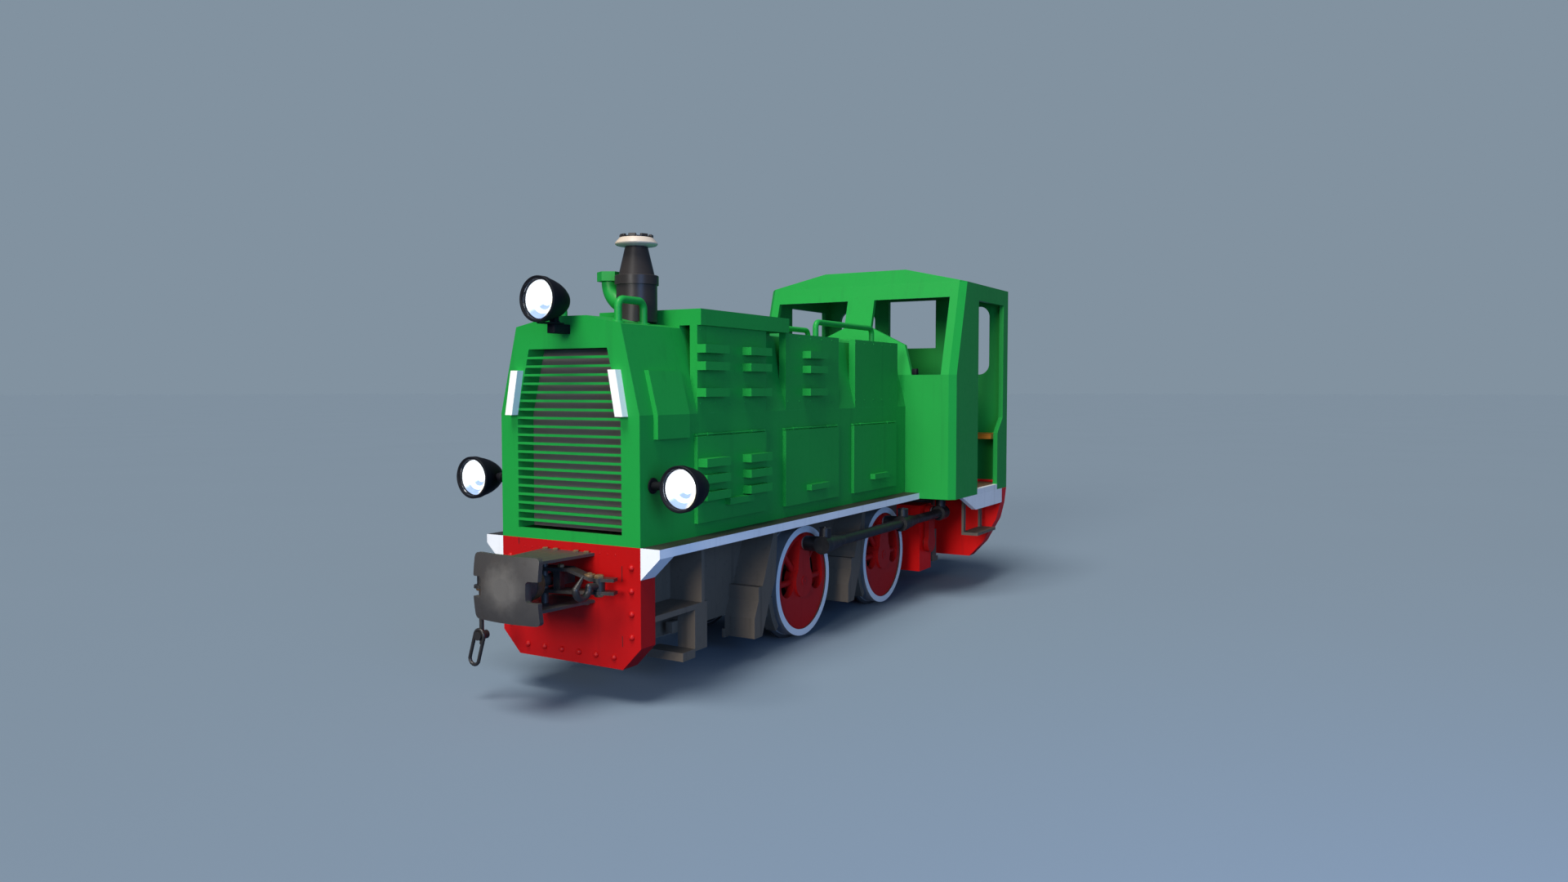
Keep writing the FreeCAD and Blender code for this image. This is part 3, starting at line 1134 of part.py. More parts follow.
def draw_hook():
    """Hook on the lever's near pin: eye, shank, bend and a raised tip."""
    x, y = lever_place(HOOK_SHARE)
    z = up(LEVER_MID_UP)
    half = (LEVER_UP[0] - LEVER_UP[1] - LEVER_T) / 2 - PLATE_PLAY
    eye_r = LEVER_PIN_R + HOOK_EYE_T
    eye = rod(eye_r, (x, y, z - half), (x, y, z + half))
    mx, mz = x + HOOK_REACH, z + HOOK_RISE
    shank = rod(HOOK_T, (x + LEVER_PIN_R, y, z), (mx - HOOK_R, y, mz))
    bend = Part.makeTorus(HOOK_R, HOOK_T, Vector(mx, y, mz), Vector(0, 1, 0))
    mouth = box(mx - 2 * HOOK_R, mx + 2 * HOOK_R, y - 2 * HOOK_T, y + 2 * HOOK_T, mz, mz + 2 * HOOK_R)
    tip = cone(HOOK_T, HOOK_TIP[2], (mx + HOOK_R, y, mz), (mx + HOOK_TIP[0], y, mz + HOOK_TIP[1]))
    hook = fuse([eye, shank, bend.cut(mouth), tip, Part.makeSphere(HOOK_T, Vector(mx + HOOK_R, y, mz)),
                 Part.makeSphere(HOOK_T, Vector(mx - HOOK_R, y, mz))])
    return hook.cut(rod(LEVER_PIN_R + SEAT_GAP, (x, y, z - eye_r), (x, y, z + eye_r)))


def shackle_end(x, centre, start, way):
    """Half ring of the shackle about a centre (y, z), from a start (y, z) where it runs along a way."""
    ring = Part.Wire([Part.makeCircle(SHACKLE_T, Vector(x, *start), Vector(0, *way))])
    return Part.Face(ring).revolve(Vector(x, *centre), Vector(1, 0, 0), -180)


def oval_shackle(x, y, z):
    """Long oval ring round a bolt at (x, y, z): two straight legs and two round ends."""
    lean, drop = SHACKLE_LEAN
    length = math.hypot(lean, drop)
    way = (-lean / length, -drop / length)
    side = (SHACKLE_R * drop / length, -SHACKLE_R * lean / length)
    top, foot = (y, z), (y - lean, z - drop)
    legs = [rod(SHACKLE_T, (x, top[0] + k * side[0], top[1] + k * side[1]),
                (x, foot[0] + k * side[0], foot[1] + k * side[1])) for k in (1, -1)]
    ends = [shackle_end(x, foot, (foot[0] + side[0], foot[1] + side[1]), way),
            shackle_end(x, top, (top[0] - side[0], top[1] - side[1]), (-way[0], -way[1]))]
    return fuse(legs + ends)


def shackle():
    """Link that hangs from the lever's far pin, its bolt and the oval shackle round the bolt."""
    x, y = lever_place(CHAIN_SHARE)
    top = up(LEVER_UP[1]) - LEVER_PIN_OUT - SEAT_GAP
    bolt_z = top - CHAIN_LINK_DROP
    radius, half = CHAIN_BOLT
    bolt = rod(radius, (x - half, y, bolt_z), (x + half, y, bolt_z))
    link = rod(CHAIN_T, (x, y, top), (x, y, bolt_z - CHAIN_TAIL))
    return fuse([link, bolt, oval_shackle(x + SHACKLE_AHEAD, y, bolt_z)])


def hook_and_chain():
    """Draw hook at the near end of the front lever and the hanging shackle at its far end."""
    return Part.makeCompound([draw_hook(), shackle()])


def at_rear(shape):
    """The same coupler piece at the other end, turned half round."""
    out = shape.copy()
    out.rotate(Vector(0, 0, 0), Vector(0, 0, 1), 180)
    return out


# ---------------------------------------------------------------- the whole locomotive
def build():
    """Make every node."""
    keep("main_frame", main_frame())
    keep("front_beam", beam(FRONT_BEAM, 0.0))
    keep("rear_beam", beam(REAR_BEAM, CAB_BACK - BEAM_T))
    keep("running_boards", both(running_board()))
    keep("hood", hood())
    keep("nose_panel", nose_panel())
    keep("grille_slats", grille_slats())
    keep("radiator", radiator())
    keep("marker_bars", marker_bars())
    panels = upper_panels()
    keep("upper_panels_left", panels)
    keep("upper_panels_right", mirror(panels))
    for i in range(len(DOOR_BACKS)):
        door = hood_door(i)
        keep("hood_door_left_%d" % (i + 1), door)
        keep("hood_door_right_%d" % (i + 1), mirror(door))
    keep("raised_casing", raised_casing())
    keep("exhaust_stack", exhaust_stack())
    keep("intake_pipe", intake_pipe())
    keep("hand_rails", handrails())
    keep("headlamps", headlamps())
    cab_walls()
    keep("cab_roof", cab_roof())
    keep("cab_floor", cab_floor())
    keep("cab_bench", bench())
    keep("control_desk", control_desk())
    keep("door_sills", door_sills())
    keep("engine_block", engine())
    keep("final_drive", final_drive())
    for name, x in (("front", FRONT_AXLE_X), ("rear", REAR_AXLE_X)):
        keep("%s_wheelset" % name, wheelset(x))
        keep("%s_tyres" % name, tyres(x))
    keep("jackshaft", jackshaft())
    keep("coupling_rod_left", coupling_rod(1))
    keep("coupling_rod_right", coupling_rod(-1))
    keep("axleboxes", axleboxes())
    keep("sand_boxes", sand_boxes())
    keep("brake_gear", brake_gear())
    keep("front_steps", steps(FRONT_STEP, at))
    keep("rear_steps", steps(REAR_STEP, ahead_of_rear))
    keep("rear_hangers", steps(REAR_HANGER, behind_jackshaft))
    for name, shape in (("draft_gear", draft_gear()), ("equaliser", equaliser()),
                        ("hook_and_chain", hook_and_chain())):
        keep("front_" + name, shape)
        keep("rear_" + name, at_rear(shape))


def main():
    """Write one STEP file per node."""
    os.makedirs("parts", exist_ok=True)
    build()
    for name, shape in NODES.items():
        shape.exportStep("parts/%s.step" % name)
        print("%-22s solids %d valid %s volume %.4f m3" % (
            name, len(shape.Solids), shape.isValid(), shape.Volume / 1e9))


main()
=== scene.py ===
"""Looks of the rod-drive diesel shunting locomotive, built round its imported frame.

Metres throughout: +X forwards, +Y to the left, +Z up, as in the frame. Heights named "up" are
measured from the top of the running boards, and lengths named "ahead" from the front of the hood.
"""

import json
import logging
import math
from dataclasses import dataclass, replace
from enum import Enum

import bmesh
import bpy
from mathutils import Matrix, Vector


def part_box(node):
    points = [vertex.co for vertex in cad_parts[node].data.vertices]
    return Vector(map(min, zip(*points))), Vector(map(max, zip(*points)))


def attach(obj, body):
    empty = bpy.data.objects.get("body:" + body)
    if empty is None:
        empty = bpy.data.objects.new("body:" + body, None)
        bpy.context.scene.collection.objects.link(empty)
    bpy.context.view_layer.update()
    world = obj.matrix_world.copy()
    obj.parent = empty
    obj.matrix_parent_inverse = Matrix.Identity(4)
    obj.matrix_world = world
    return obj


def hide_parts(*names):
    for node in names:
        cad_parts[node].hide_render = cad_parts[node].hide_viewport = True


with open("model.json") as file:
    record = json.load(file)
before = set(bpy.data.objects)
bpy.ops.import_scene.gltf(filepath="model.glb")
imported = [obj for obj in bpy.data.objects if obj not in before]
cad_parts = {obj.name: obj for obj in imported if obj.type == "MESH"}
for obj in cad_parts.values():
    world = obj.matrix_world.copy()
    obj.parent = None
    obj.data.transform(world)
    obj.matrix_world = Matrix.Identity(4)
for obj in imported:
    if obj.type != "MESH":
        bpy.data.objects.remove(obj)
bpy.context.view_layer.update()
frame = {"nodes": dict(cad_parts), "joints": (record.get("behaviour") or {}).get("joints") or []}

LOG = logging.getLogger("locomotive")

Band = tuple[float, float]
Colour = tuple[float, float, float]
Place = Vector | tuple[float, float, float]
Socket = bpy.types.NodeSocket
Spot = tuple[float, float]

X, Y, Z = Vector((1, 0, 0)), Vector((0, 1, 0)), Vector((0, 0, 1))
SIDES = (1, -1)
ENDS = (("front", 1), ("rear", -1))
HANDS = (("left", 1), ("right", -1))
FLAPS = (1, 2, 3)
FULL_TURN = 2 * math.pi

# steps of the paint chart, and its curve: straight up to the knee, a power of the shifted step above it
CHART_STEPS = 255
KNEE, SLOPE, SHIFT, POWER = 0.04045, 12.92, 0.055, 2.4


def chart(red: int, green: int, blue: int) -> Colour:
    """Linear colour of a paint-chart entry.

    Args:
        red: Red step from 0 to 255.
        green: Green step from 0 to 255.
        blue: Blue step from 0 to 255.

    Returns:
        The colour in linear light, each part from 0 to 1.
    """
    steps = (value / CHART_STEPS for value in (red, green, blue))
    return tuple(s / SLOPE if s <= KNEE else ((s + SHIFT) / (1 + SHIFT)) ** POWER for s in steps)


# ---------------------------------------------------------------- shader wiring
@dataclass(frozen=True)
class Grain:
    """Scale, detail and roughness of a soft random pattern."""

    scale: float
    detail: float = 2.0
    roughness: float = 0.5


class MixKind(Enum):
    """Data type of a mix node, the places of its share and two values, and the place of its result."""

    NUMBER = ("FLOAT", (0, 2, 3), 0)
    COLOUR = ("RGBA", (0, 6, 7), 2)


class Wiring:
    """Adds and joins nodes in one shader node tree."""

    def __init__(self, tree: bpy.types.NodeTree) -> None:
        """Work on this tree."""
        self.tree = tree

    def add(self, kind: str, feeds: dict[str | int, object] | None = None,
            **settings: object) -> bpy.types.Node:
        """Add one node.

        Args:
            kind: Blender's class name of the node.
            feeds: Values or sockets for inputs, by the input's name or place.
            **settings: Properties of the node.

        Returns:
            The new node.
        """
        node = self.tree.nodes.new(kind)
        for name, value in settings.items():
            setattr(node, name, value)
        for name, value in (feeds or {}).items():
            self.feed(node.inputs[name], value)
        return node

    def feed(self, socket: Socket, value: object) -> None:
        """Link a socket to another one, or set its plain value.

        Args:
            socket: The input to feed.
            value: Another socket, or a number, colour or vector.
        """
        if isinstance(value, bpy.types.NodeSocket):
            self.tree.links.new(value, socket)
        elif socket.type == "RGBA":
            socket.default_value = (*value[:3], 1.0)
        else:
            socket.default_value = value

    def math(self, operation: str, first: object, second: object = 0.0, third: object = 0.0) -> Socket:
        """One step of arithmetic on numbers or sockets."""
        return self.add("ShaderNodeMath", {0: first, 1: second, 2: third}, operation=operation).outputs[0]

    def product(self, *factors: object) -> Socket:
        """Multiply numbers or sockets.

        Args:
            *factors: What is multiplied.

        Returns:
            The product.
        """
        result = factors[0]
        for factor in factors[1:]:
            result = self.math("MULTIPLY", result, factor)
        return result

    def less(self, share: object) -> Socket:
        """1 less a share."""
        return self.math("SUBTRACT", 1.0, share)

    def sway(self, pattern: object, amount: object, base: object) -> Socket:
        """Base value that a pattern moves up and down round its middle."""
        return self.math("MULTIPLY_ADD", self.math("SUBTRACT", pattern, 0.5), amount, base)

    def between(self, kind: MixKind, *values: object) -> Socket:
        """Result of a mix node for a share, a first and a second value."""
        data_type, places, result = kind.value
        return self.add("ShaderNodeMix", dict(zip(places, values)), data_type=data_type).outputs[result]

    def mix(self, share: object, first: object, second: object) -> Socket:
        """Colour between the first, at share 0, and the second, at share 1."""
        return self.between(MixKind.COLOUR, share, first, second)

    def slide(self, share: object, first: object, second: object) -> Socket:
        """Number between the first, at share 0, and the second, at share 1."""
        return self.between(MixKind.NUMBER, share, first, second)

    def ramp(self, value: object, band: Band, base: float = 0.0) -> Socket:
        """0 up to the start of a band that lies from a base, 1 from its end on, and smooth in it."""
        feeds = {"Value": value, "From Min": base + band[0], "From Max": base + band[1]}
        return self.add("ShaderNodeMapRange", feeds, interpolation_type="SMOOTHSTEP").outputs[0]

    def fall(self, value: object, band: Band, base: float = 0.0) -> Socket:
        """1 up to the start of a band that lies from a base, 0 from its end on, and smooth in it."""
        return self.less(self.ramp(value, band, base))

    def place(self) -> Socket:
        """Object coordinates."""
        return self.add("ShaderNodeTexCoord").outputs["Object"]

    def level(self) -> Socket:
        """How far a face looks up on the piece: 1 for up, 0 for sideways and -1 for down."""
        return self.split(self.add("ShaderNodeTexCoord").outputs["Normal"])[2]

    def split(self, vector: Socket) -> tuple[Socket, Socket, Socket]:
        """The X, Y and Z of a vector."""
        return tuple(self.add("ShaderNodeSeparateXYZ", {"Vector": vector}).outputs)

    def length(self, vector: Socket) -> Socket:
        """The length of a vector."""
        return self.add("ShaderNodeVectorMath", {0: vector}, operation="LENGTH").outputs["Value"]

    def stretch(self, vector: Socket, scale: Place, shift: Place = (0.0, 0.0, 0.0)) -> Socket:
        """Vector scaled on each axis, then shifted."""
        feeds = {"Vector": vector, "Scale": scale, "Location": shift}
        return self.add("ShaderNodeMapping", feeds).outputs[0]

    def noise(self, vector: Socket, grain: Grain) -> Socket:
        """Soft random pattern from 0 to 1 with a middle of a half."""
        feeds = {"Vector": vector, "Scale": grain.scale, "Detail": grain.detail,
                 "Roughness": grain.roughness}
        return self.add("ShaderNodeTexNoise", feeds).outputs[0]

    def bump(self, height: Socket, distance: object, below: Socket | None = None) -> Socket:
        """Make a normal that follows a height pattern.

        Args:
            height: The pattern.
            distance: How high the pattern stands, in metres.
            below: A normal that lies under the pattern, where there is one.

        Returns:
            The normal.
        """
        feeds = {"Height": height, "Distance": distance, "Strength": 1.0}
        if below is not None:
            feeds["Normal"] = below
        return self.add("ShaderNodeBump", feeds).outputs[0]


class SocketKind(Enum):
    """Kinds of socket that an effect's group has."""

    COLOUR = "NodeSocketColor"
    NUMBER = "NodeSocketFloat"
    VECTOR = "NodeSocketVector"


@dataclass(frozen=True)
class Port:
    """One named input or output of an effect."""

    name: str
    kind: SocketKind = SocketKind.NUMBER


class Effect:
    """A shader node group that is built once and placed in each material that needs it."""

    title = "effect"
    inlets: tuple[Port, ...] = ()
    outlets: tuple[Port, ...] = ()

    def wire(self, wiring: Wiring, inlet: bpy.types.NodeOutputs) -> dict[str, Socket]:
        """Build the inside of the group.

        Args:
            wiring: The group's own wiring.
            inlet: The group's inputs, by name.

        Returns:
            A socket for each output's name.
        """
        raise NotImplementedError

    def group(self) -> bpy.types.NodeTree:
        """Find the group's node tree, or make it on first use.

        Returns:
            The node tree.
        """
        found = bpy.data.node_groups.get(self.title)
        if found:
            return found
        tree = bpy.data.node_groups.new(self.title, "ShaderNodeTree")
        for ports, way in ((self.inlets, "INPUT"), (self.outlets, "OUTPUT")):
            for port in ports:
                tree.interface.new_socket(name=port.name, in_out=way, socket_type=port.kind.value)
        wiring = Wiring(tree)
        start, end = wiring.add("NodeGroupInput"), wiring.add("NodeGroupOutput")
        for name, socket in self.wire(wiring, start.outputs).items():
            wiring.feed(end.inputs[name], socket)
        return tree

    def place(self, wiring: Wiring, **values: object) -> bpy.types.NodeOutputs:
        """Put the group in a material, with values for its inputs by their names in lower case."""
        feeds = {name.capitalize(): value for name, value in values.items()}
        return wiring.add("ShaderNodeGroup", feeds, node_tree=self.group()).outputs


class Weather(Effect):
    """Uneven tone, rain streaks on upright faces and dust on level ones."""

    title = "weather"
    inlets = (Port("Coat", SocketKind.COLOUR), Port("Grime", SocketKind.COLOUR),
              Port("Dust", SocketKind.COLOUR), Port("Mottle"), Port("Streak"), Port("Dusting"),
              Port("Gloss"))
    outlets = (Port("Colour", SocketKind.COLOUR), Port("Roughness"))

    broad: Grain = Grain(1.6, 4.0, 0.6)
    fine: Grain = Grain(26.0, 3.0, 0.65)
    run: Grain = Grain(1.0, 3.0)
    run_stretch: Place = (16.0, 16.0, 0.7)
    run_band: Band = (0.54, 0.78)
    speck_band: Band = (0.55, 0.8)
    speck_share: float = 0.6
    level_band: Band = (0.55, 0.95)
    settled: Grain = Grain(7.0, 4.0, 0.7)
    settled_band: Band = (0.3, 0.75)
    # how much the fine pattern, soil and dust change the roughness
    fine_rough: float = 0.12
    soil_rough: float = 0.2
    dust_rough: float = 0.35

    def wire(self, wiring: Wiring, inlet: bpy.types.NodeOutputs) -> dict[str, Socket]:
        """Build tone, streaks and dust over the coat's colour.

        Args:
            wiring: The group's own wiring.
            inlet: The group's inputs, by name.

        Returns:
            The aged colour and its roughness.
        """
        place, rise = wiring.place(), wiring.level()
        upright = wiring.less(wiring.math("ABSOLUTE", rise))
        fine = wiring.noise(place, self.fine)
        run = wiring.noise(wiring.stretch(place, self.run_stretch), self.run)
        tone = wiring.sway(wiring.noise(place, self.broad), inlet["Mottle"], 1.0)
        shaded = wiring.add("ShaderNodeVectorMath", {0: inlet["Coat"], "Scale": tone}, operation="SCALE")
        streak = wiring.product(wiring.ramp(run, self.run_band), upright, inlet["Streak"])
        speck = wiring.product(wiring.ramp(fine, self.speck_band), inlet["Streak"], self.speck_share)
        soil = wiring.math("MAXIMUM", streak, speck)
        settled = wiring.ramp(wiring.noise(place, self.settled), self.settled_band)
        dust = wiring.product(wiring.ramp(rise, self.level_band), settled, inlet["Dusting"])
        soiled = wiring.mix(soil, shaded.outputs[0], inlet["Grime"])
        rough = wiring.sway(fine, self.fine_rough, inlet["Gloss"])
        rough = wiring.math("MULTIPLY_ADD", soil, self.soil_rough, rough)
        rough = wiring.math("MULTIPLY_ADD", dust, self.dust_rough, rough)
        return {"Colour": wiring.mix(dust, soiled, inlet["Dust"]), "Roughness": rough}


class EdgeRub(Effect):
    """Mask of the outer edges where a coat is rubbed thin."""

    title = "edge_rub"
    inlets = (Port("Width"), Port("Amount"))
    outlets = (Port("Mask"),)

    samples: int = 4
    turn_band: Band = (0.03, 0.2)
    breaks: Grain = Grain(18.0, 4.0, 0.7)
    break_band: Band = (0.42, 0.68)

    def wire(self, wiring: Wiring, inlet: bpy.types.NodeOutputs) -> dict[str, Socket]:
        """Compare the rounded normal with the true one and break the line up.

        Args:
            wiring: The group's own wiring.
            inlet: The group's inputs, by name.

        Returns:
            The mask.
        """
        rounded = wiring.add("ShaderNodeBevel", {"Radius": inlet["Width"]}, samples=self.samples)
        true = wiring.add("ShaderNodeNewGeometry")
        match = wiring.add("ShaderNodeVectorMath", {0: rounded.outputs[0], 1: true.outputs["Normal"]},
                           operation="DOT_PRODUCT")
        turn = wiring.ramp(wiring.less(match.outputs["Value"]), self.turn_band)
        broken = wiring.ramp(wiring.noise(wiring.place(), self.breaks), self.break_band)
        return {"Mask": wiring.product(turn, broken, inlet["Amount"])}


class SheetSkin(Effect):
    """Slight waves of rolled sheet under the fine ripple of brushed-on paint."""

    title = "sheet_skin"
    inlets = (Port("Wave"), Port("Ripple"))
    outlets = (Port("Normal", SocketKind.VECTOR),)

    waves: Grain = Grain(3.0, 1.0)
    ripples: Grain = Grain(160.0)

    def wire(self, wiring: Wiring, inlet: bpy.types.NodeOutputs) -> dict[str, Socket]:
        """Stack the two heights.

        Args:
            wiring: The group's own wiring.
            inlet: The group's inputs, by name.

        Returns:
            The normal.
        """
        place = wiring.place()
        wave = wiring.bump(wiring.noise(place, self.waves), inlet["Wave"])
        return {"Normal": wiring.bump(wiring.noise(place, self.ripples), inlet["Ripple"], wave)}


class CastSkin(Effect):
    """Sandy casting with oily and rusty patches."""

    title = "cast_skin"
    inlets = (Port("Metal", SocketKind.COLOUR), Port("Rust", SocketKind.COLOUR), Port("Rusting"),
              Port("Gloss"), Port("Grain"))
    outlets = (Port("Colour", SocketKind.COLOUR), Port("Roughness"), Port("Normal", SocketKind.VECTOR))

    patches: Grain = Grain(9.0, 5.0, 0.65)
    sand: Grain = Grain(240.0, 2.0, 0.6)
    rust_band: Band = (0.5, 0.72)
    # how much patches and rust change the roughness, and how far patches stand over the sand
    patch_rough: float = 0.5
    rust_rough: float = 0.25
    patch_height: float = 3.0

    def wire(self, wiring: Wiring, inlet: bpy.types.NodeOutputs) -> dict[str, Socket]:
        """Build colour, gloss and relief.

        Args:
            wiring: The group's own wiring.
            inlet: The group's inputs, by name.

        Returns:
            The colour, roughness and normal.
        """
        place = wiring.place()
        patch, sand = wiring.noise(place, self.patches), wiring.noise(place, self.sand)
        rust = wiring.product(wiring.ramp(patch, self.rust_band), inlet["Rusting"])
        colour = wiring.mix(rust, inlet["Metal"], inlet["Rust"])
        rough = wiring.math("MULTIPLY_ADD", rust, self.rust_rough,
                            wiring.sway(patch, self.patch_rough, inlet["Gloss"]))
        lumps = wiring.bump(patch, wiring.product(inlet["Grain"], self.patch_height))
        return {"Colour": colour, "Roughness": rough, "Normal": wiring.bump(sand, inlet["Grain"], lumps)}


class Chequer(Effect):
    """Height of raised lozenges on tread plate."""

    title = "chequer"
    inlets = (Port("Pitch"),)
    outlets = (Port("Height"),)

    crest_band: Band = (0.25, 0.6)

    def wire(self, wiring: Wiring, inlet: bpy.types.NodeOutputs) -> dict[str, Socket]:
        """Cross two rows of ridges.

        Args:
            wiring: The group's own wiring.
            inlet: The group's inputs, by name.

        Returns:
            The height, from 0 between the lozenges to 1 on them.
        """
        along, across, _ = wiring.split(wiring.place())
        turns = wiring.math("DIVIDE", FULL_TURN, inlet["Pitch"])
        slants = [wiring.math("MULTIPLY_ADD", across, way, along) for way in SIDES]
        rows = [wiring.math("SINE", wiring.product(slant, turns)) for slant in slants]
        return {"Height": wiring.ramp(wiring.product(*rows), self.crest_band)}


# ---------------------------------------------------------------- finishes
@dataclass(frozen=True)
class Finish:
    """Base of every finish: a named material that is made once."""

    name: str

    def material(self) -> bpy.types.Material:
        """Find the finish's material, or make it on first use.

        Returns:
            The material.
        """
        found = bpy.data.materials.get(self.name)
        if found:
            return found
        made = bpy.data.materials.new(self.name)
        made.use_nodes = True
        made.node_tree.nodes.clear()
        wiring = Wiring(made.node_tree)
        shader = wiring.add("ShaderNodeBsdfPrincipled", self.dress(wiring))
        wiring.add("ShaderNodeOutputMaterial", {"Surface": shader.outputs[0]})
        return made

    def dress(self, wiring: Wiring) -> dict[str, object]:
        """Make the patterns of the finish.

        Args:
            wiring: The material's wiring.

        Returns:
            A value or socket for each of the shader's inputs that the finish sets, by its name.
        """
        raise NotImplementedError


@dataclass(frozen=True)
class Paint(Finish):
    """Brushed gloss paint over steel."""

    coat: Colour
    grime: Colour
    edge: Colour
    dust: Colour = (0.25, 0.23, 0.2)
    gloss: float = 0.42
    mottle: float = 0.16
    streak: float = 0.1
    dusting: float = 0.1
    rub: float = 0.35
    rub_width: float = 0.005
    wave: float = 0.0012
    ripple: float = 0.00006
    shine: float = 0.22

    def colour(self, wiring: Wiring) -> Socket | Colour:
        """The coat's colour, which a finish of two colours makes a pattern."""
        return self.coat

    def relief(self, wiring: Wiring) -> Socket:
        """The normal of the painted sheet."""
        return SheetSkin().place(wiring, wave=self.wave, ripple=self.ripple)["Normal"]

    def dress(self, wiring: Wiring) -> dict[str, object]:
        """Weather the coat and rub its edges.

        Args:
            wiring: The material's wiring.

        Returns:
            The shader's inputs, by name.
        """
        aged = Weather().place(wiring, coat=self.colour(wiring), grime=self.grime, dust=self.dust,
                               mottle=self.mottle, streak=self.streak, dusting=self.dusting,
                               gloss=self.gloss)
        rubbed = EdgeRub().place(wiring, width=self.rub_width, amount=self.rub)["Mask"]
        return {"Base Color": wiring.mix(rubbed, aged["Colour"], self.edge), "Roughness": aged["Roughness"],
                "Normal": self.relief(wiring), "Specular IOR Level": self.shine}


@dataclass(frozen=True)
class BoardPaint(Paint):
    """White edges round a dark tread-plate top."""

    tread: Colour = (0.03, 0.026, 0.022)
    pitch: float = 0.03
    height: float = 0.0012
    top_band: Band = (0.6, 0.8)

    def top(self, wiring: Wiring) -> Socket:
        """Mask of the faces that look up."""
        return wiring.ramp(wiring.level(), self.top_band)

    def colour(self, wiring: Wiring) -> Socket:
        """White with a dark top."""
        return wiring.mix(self.top(wiring), self.coat, self.tread)

    def relief(self, wiring: Wiring) -> Socket:
        """Lozenges on the top only."""
        lozenges = Chequer().place(wiring, pitch=self.pitch)["Height"]
        return wiring.bump(wiring.product(lozenges, self.top(wiring)), self.height)


@dataclass(frozen=True)
class WheelPaint(Paint):
    """Painted wheel centre on a greasy axle, with bare steel where the rod runs."""

    axle: Colour = (0.025, 0.022, 0.02)
    pin: Colour = (0.2, 0.19, 0.18)
    # how far from the centre line the paint starts and ends
    centre: Spot = (0.372, 0.474)
    blend: Band = (-0.002, 0.0)

    def colour(self, wiring: Wiring) -> Socket:
        """Sort axle, wheel centre and pin by their distance from the centre line.

        Args:
            wiring: The material's wiring.

        Returns:
            The colour.
        """
        out = wiring.math("ABSOLUTE", wiring.split(wiring.place())[1])
        inner, outer = self.centre
        painted = wiring.mix(wiring.ramp(out, self.blend, inner), self.axle, self.coat)
        return wiring.mix(wiring.ramp(out, self.blend, outer), painted, self.pin)


@dataclass(frozen=True)
class ThresholdPaint(Paint):
    """Cab side with a white threshold painted under its doorway."""

    # the doorway's rear and front posts along the locomotive, and the height of its foot
    doorway: Spot = (0.0, 0.0)
    foot: float = 0.0
    threshold: Colour = (0.84, 0.84, 0.83)
    blend: float = 0.001

    def colour(self, wiring: Wiring) -> Socket:
        """Paint the wall white below the doorway's foot, between its two posts.

        Args:
            wiring: The material's wiring.

        Returns:
            The colour.
        """
        along, _, rise = wiring.split(wiring.place())
        rear, front = self.doorway
        strip = wiring.product(wiring.ramp(along, (-self.blend, 0.0), rear),
                               wiring.fall(along, (0.0, self.blend), front),
                               wiring.fall(rise, (0.0, self.blend), self.foot))
        return wiring.mix(strip, self.coat, self.threshold)


@dataclass(frozen=True)
class TyreSteel(Finish):
    """Flanged tyre: white outer ring, bright running tread and a dark flange."""

    axle: Spot
    face: float
    tread_r: float
    white: Colour = (0.8, 0.8, 0.79)
    bright: Colour = (0.52, 0.51, 0.49)
    dark: Colour = (0.05, 0.047, 0.043)
    sheen: Grain = Grain(420.0, 3.0)
    chips: Grain = Grain(14.0, 4.0)
    chip_band: Band = (0.74, 0.82)
    # where the white ring starts before the face, and the tread starts and ends round its radius
    face_band: Band = (-0.0015, -0.0005)
    tread_start: Band = (-0.004, -0.001)
    tread_end: Band = (0.002, 0.008)
    bare_rough: Band = (0.25, 0.45)
    white_rough: float = 0.4
    metallic: float = 0.7
    height: float = 0.0002

    def dress(self, wiring: Wiring) -> dict[str, object]:
        """Sort the ring's faces by their place in the section.

        Args:
            wiring: The material's wiring.

        Returns:
            The shader's inputs, by name.
        """
        along, out, rise = wiring.split(wiring.place())
        along = wiring.math("SUBTRACT", along, self.axle[0])
        rise = wiring.math("SUBTRACT", rise, self.axle[1])
        radius = wiring.math("SQRT", wiring.math("ADD", wiring.product(along, along),
                                                 wiring.product(rise, rise)))
        out = wiring.math("ABSOLUTE", out)
        section = wiring.add("ShaderNodeCombineXYZ", {"X": radius, "Y": out}).outputs[0]
        sheen = wiring.noise(section, self.sheen)
        painted = wiring.ramp(out, self.face_band, self.face)
        chipped = wiring.ramp(wiring.noise(wiring.place(), self.chips), self.chip_band)
        tread = wiring.product(wiring.ramp(radius, self.tread_start, self.tread_r),
                               wiring.fall(radius, self.tread_end, self.tread_r))
        metal = wiring.mix(painted, wiring.mix(tread, self.dark, self.bright), self.white)
        bare_rough = wiring.slide(sheen, *self.bare_rough)
        return {"Base Color": wiring.mix(wiring.product(painted, chipped), metal, self.dark),
                "Roughness": wiring.slide(painted, bare_rough, self.white_rough),
                "Metallic": wiring.product(tread, wiring.less(painted), self.metallic),
                "Normal": wiring.bump(sheen, self.height)}


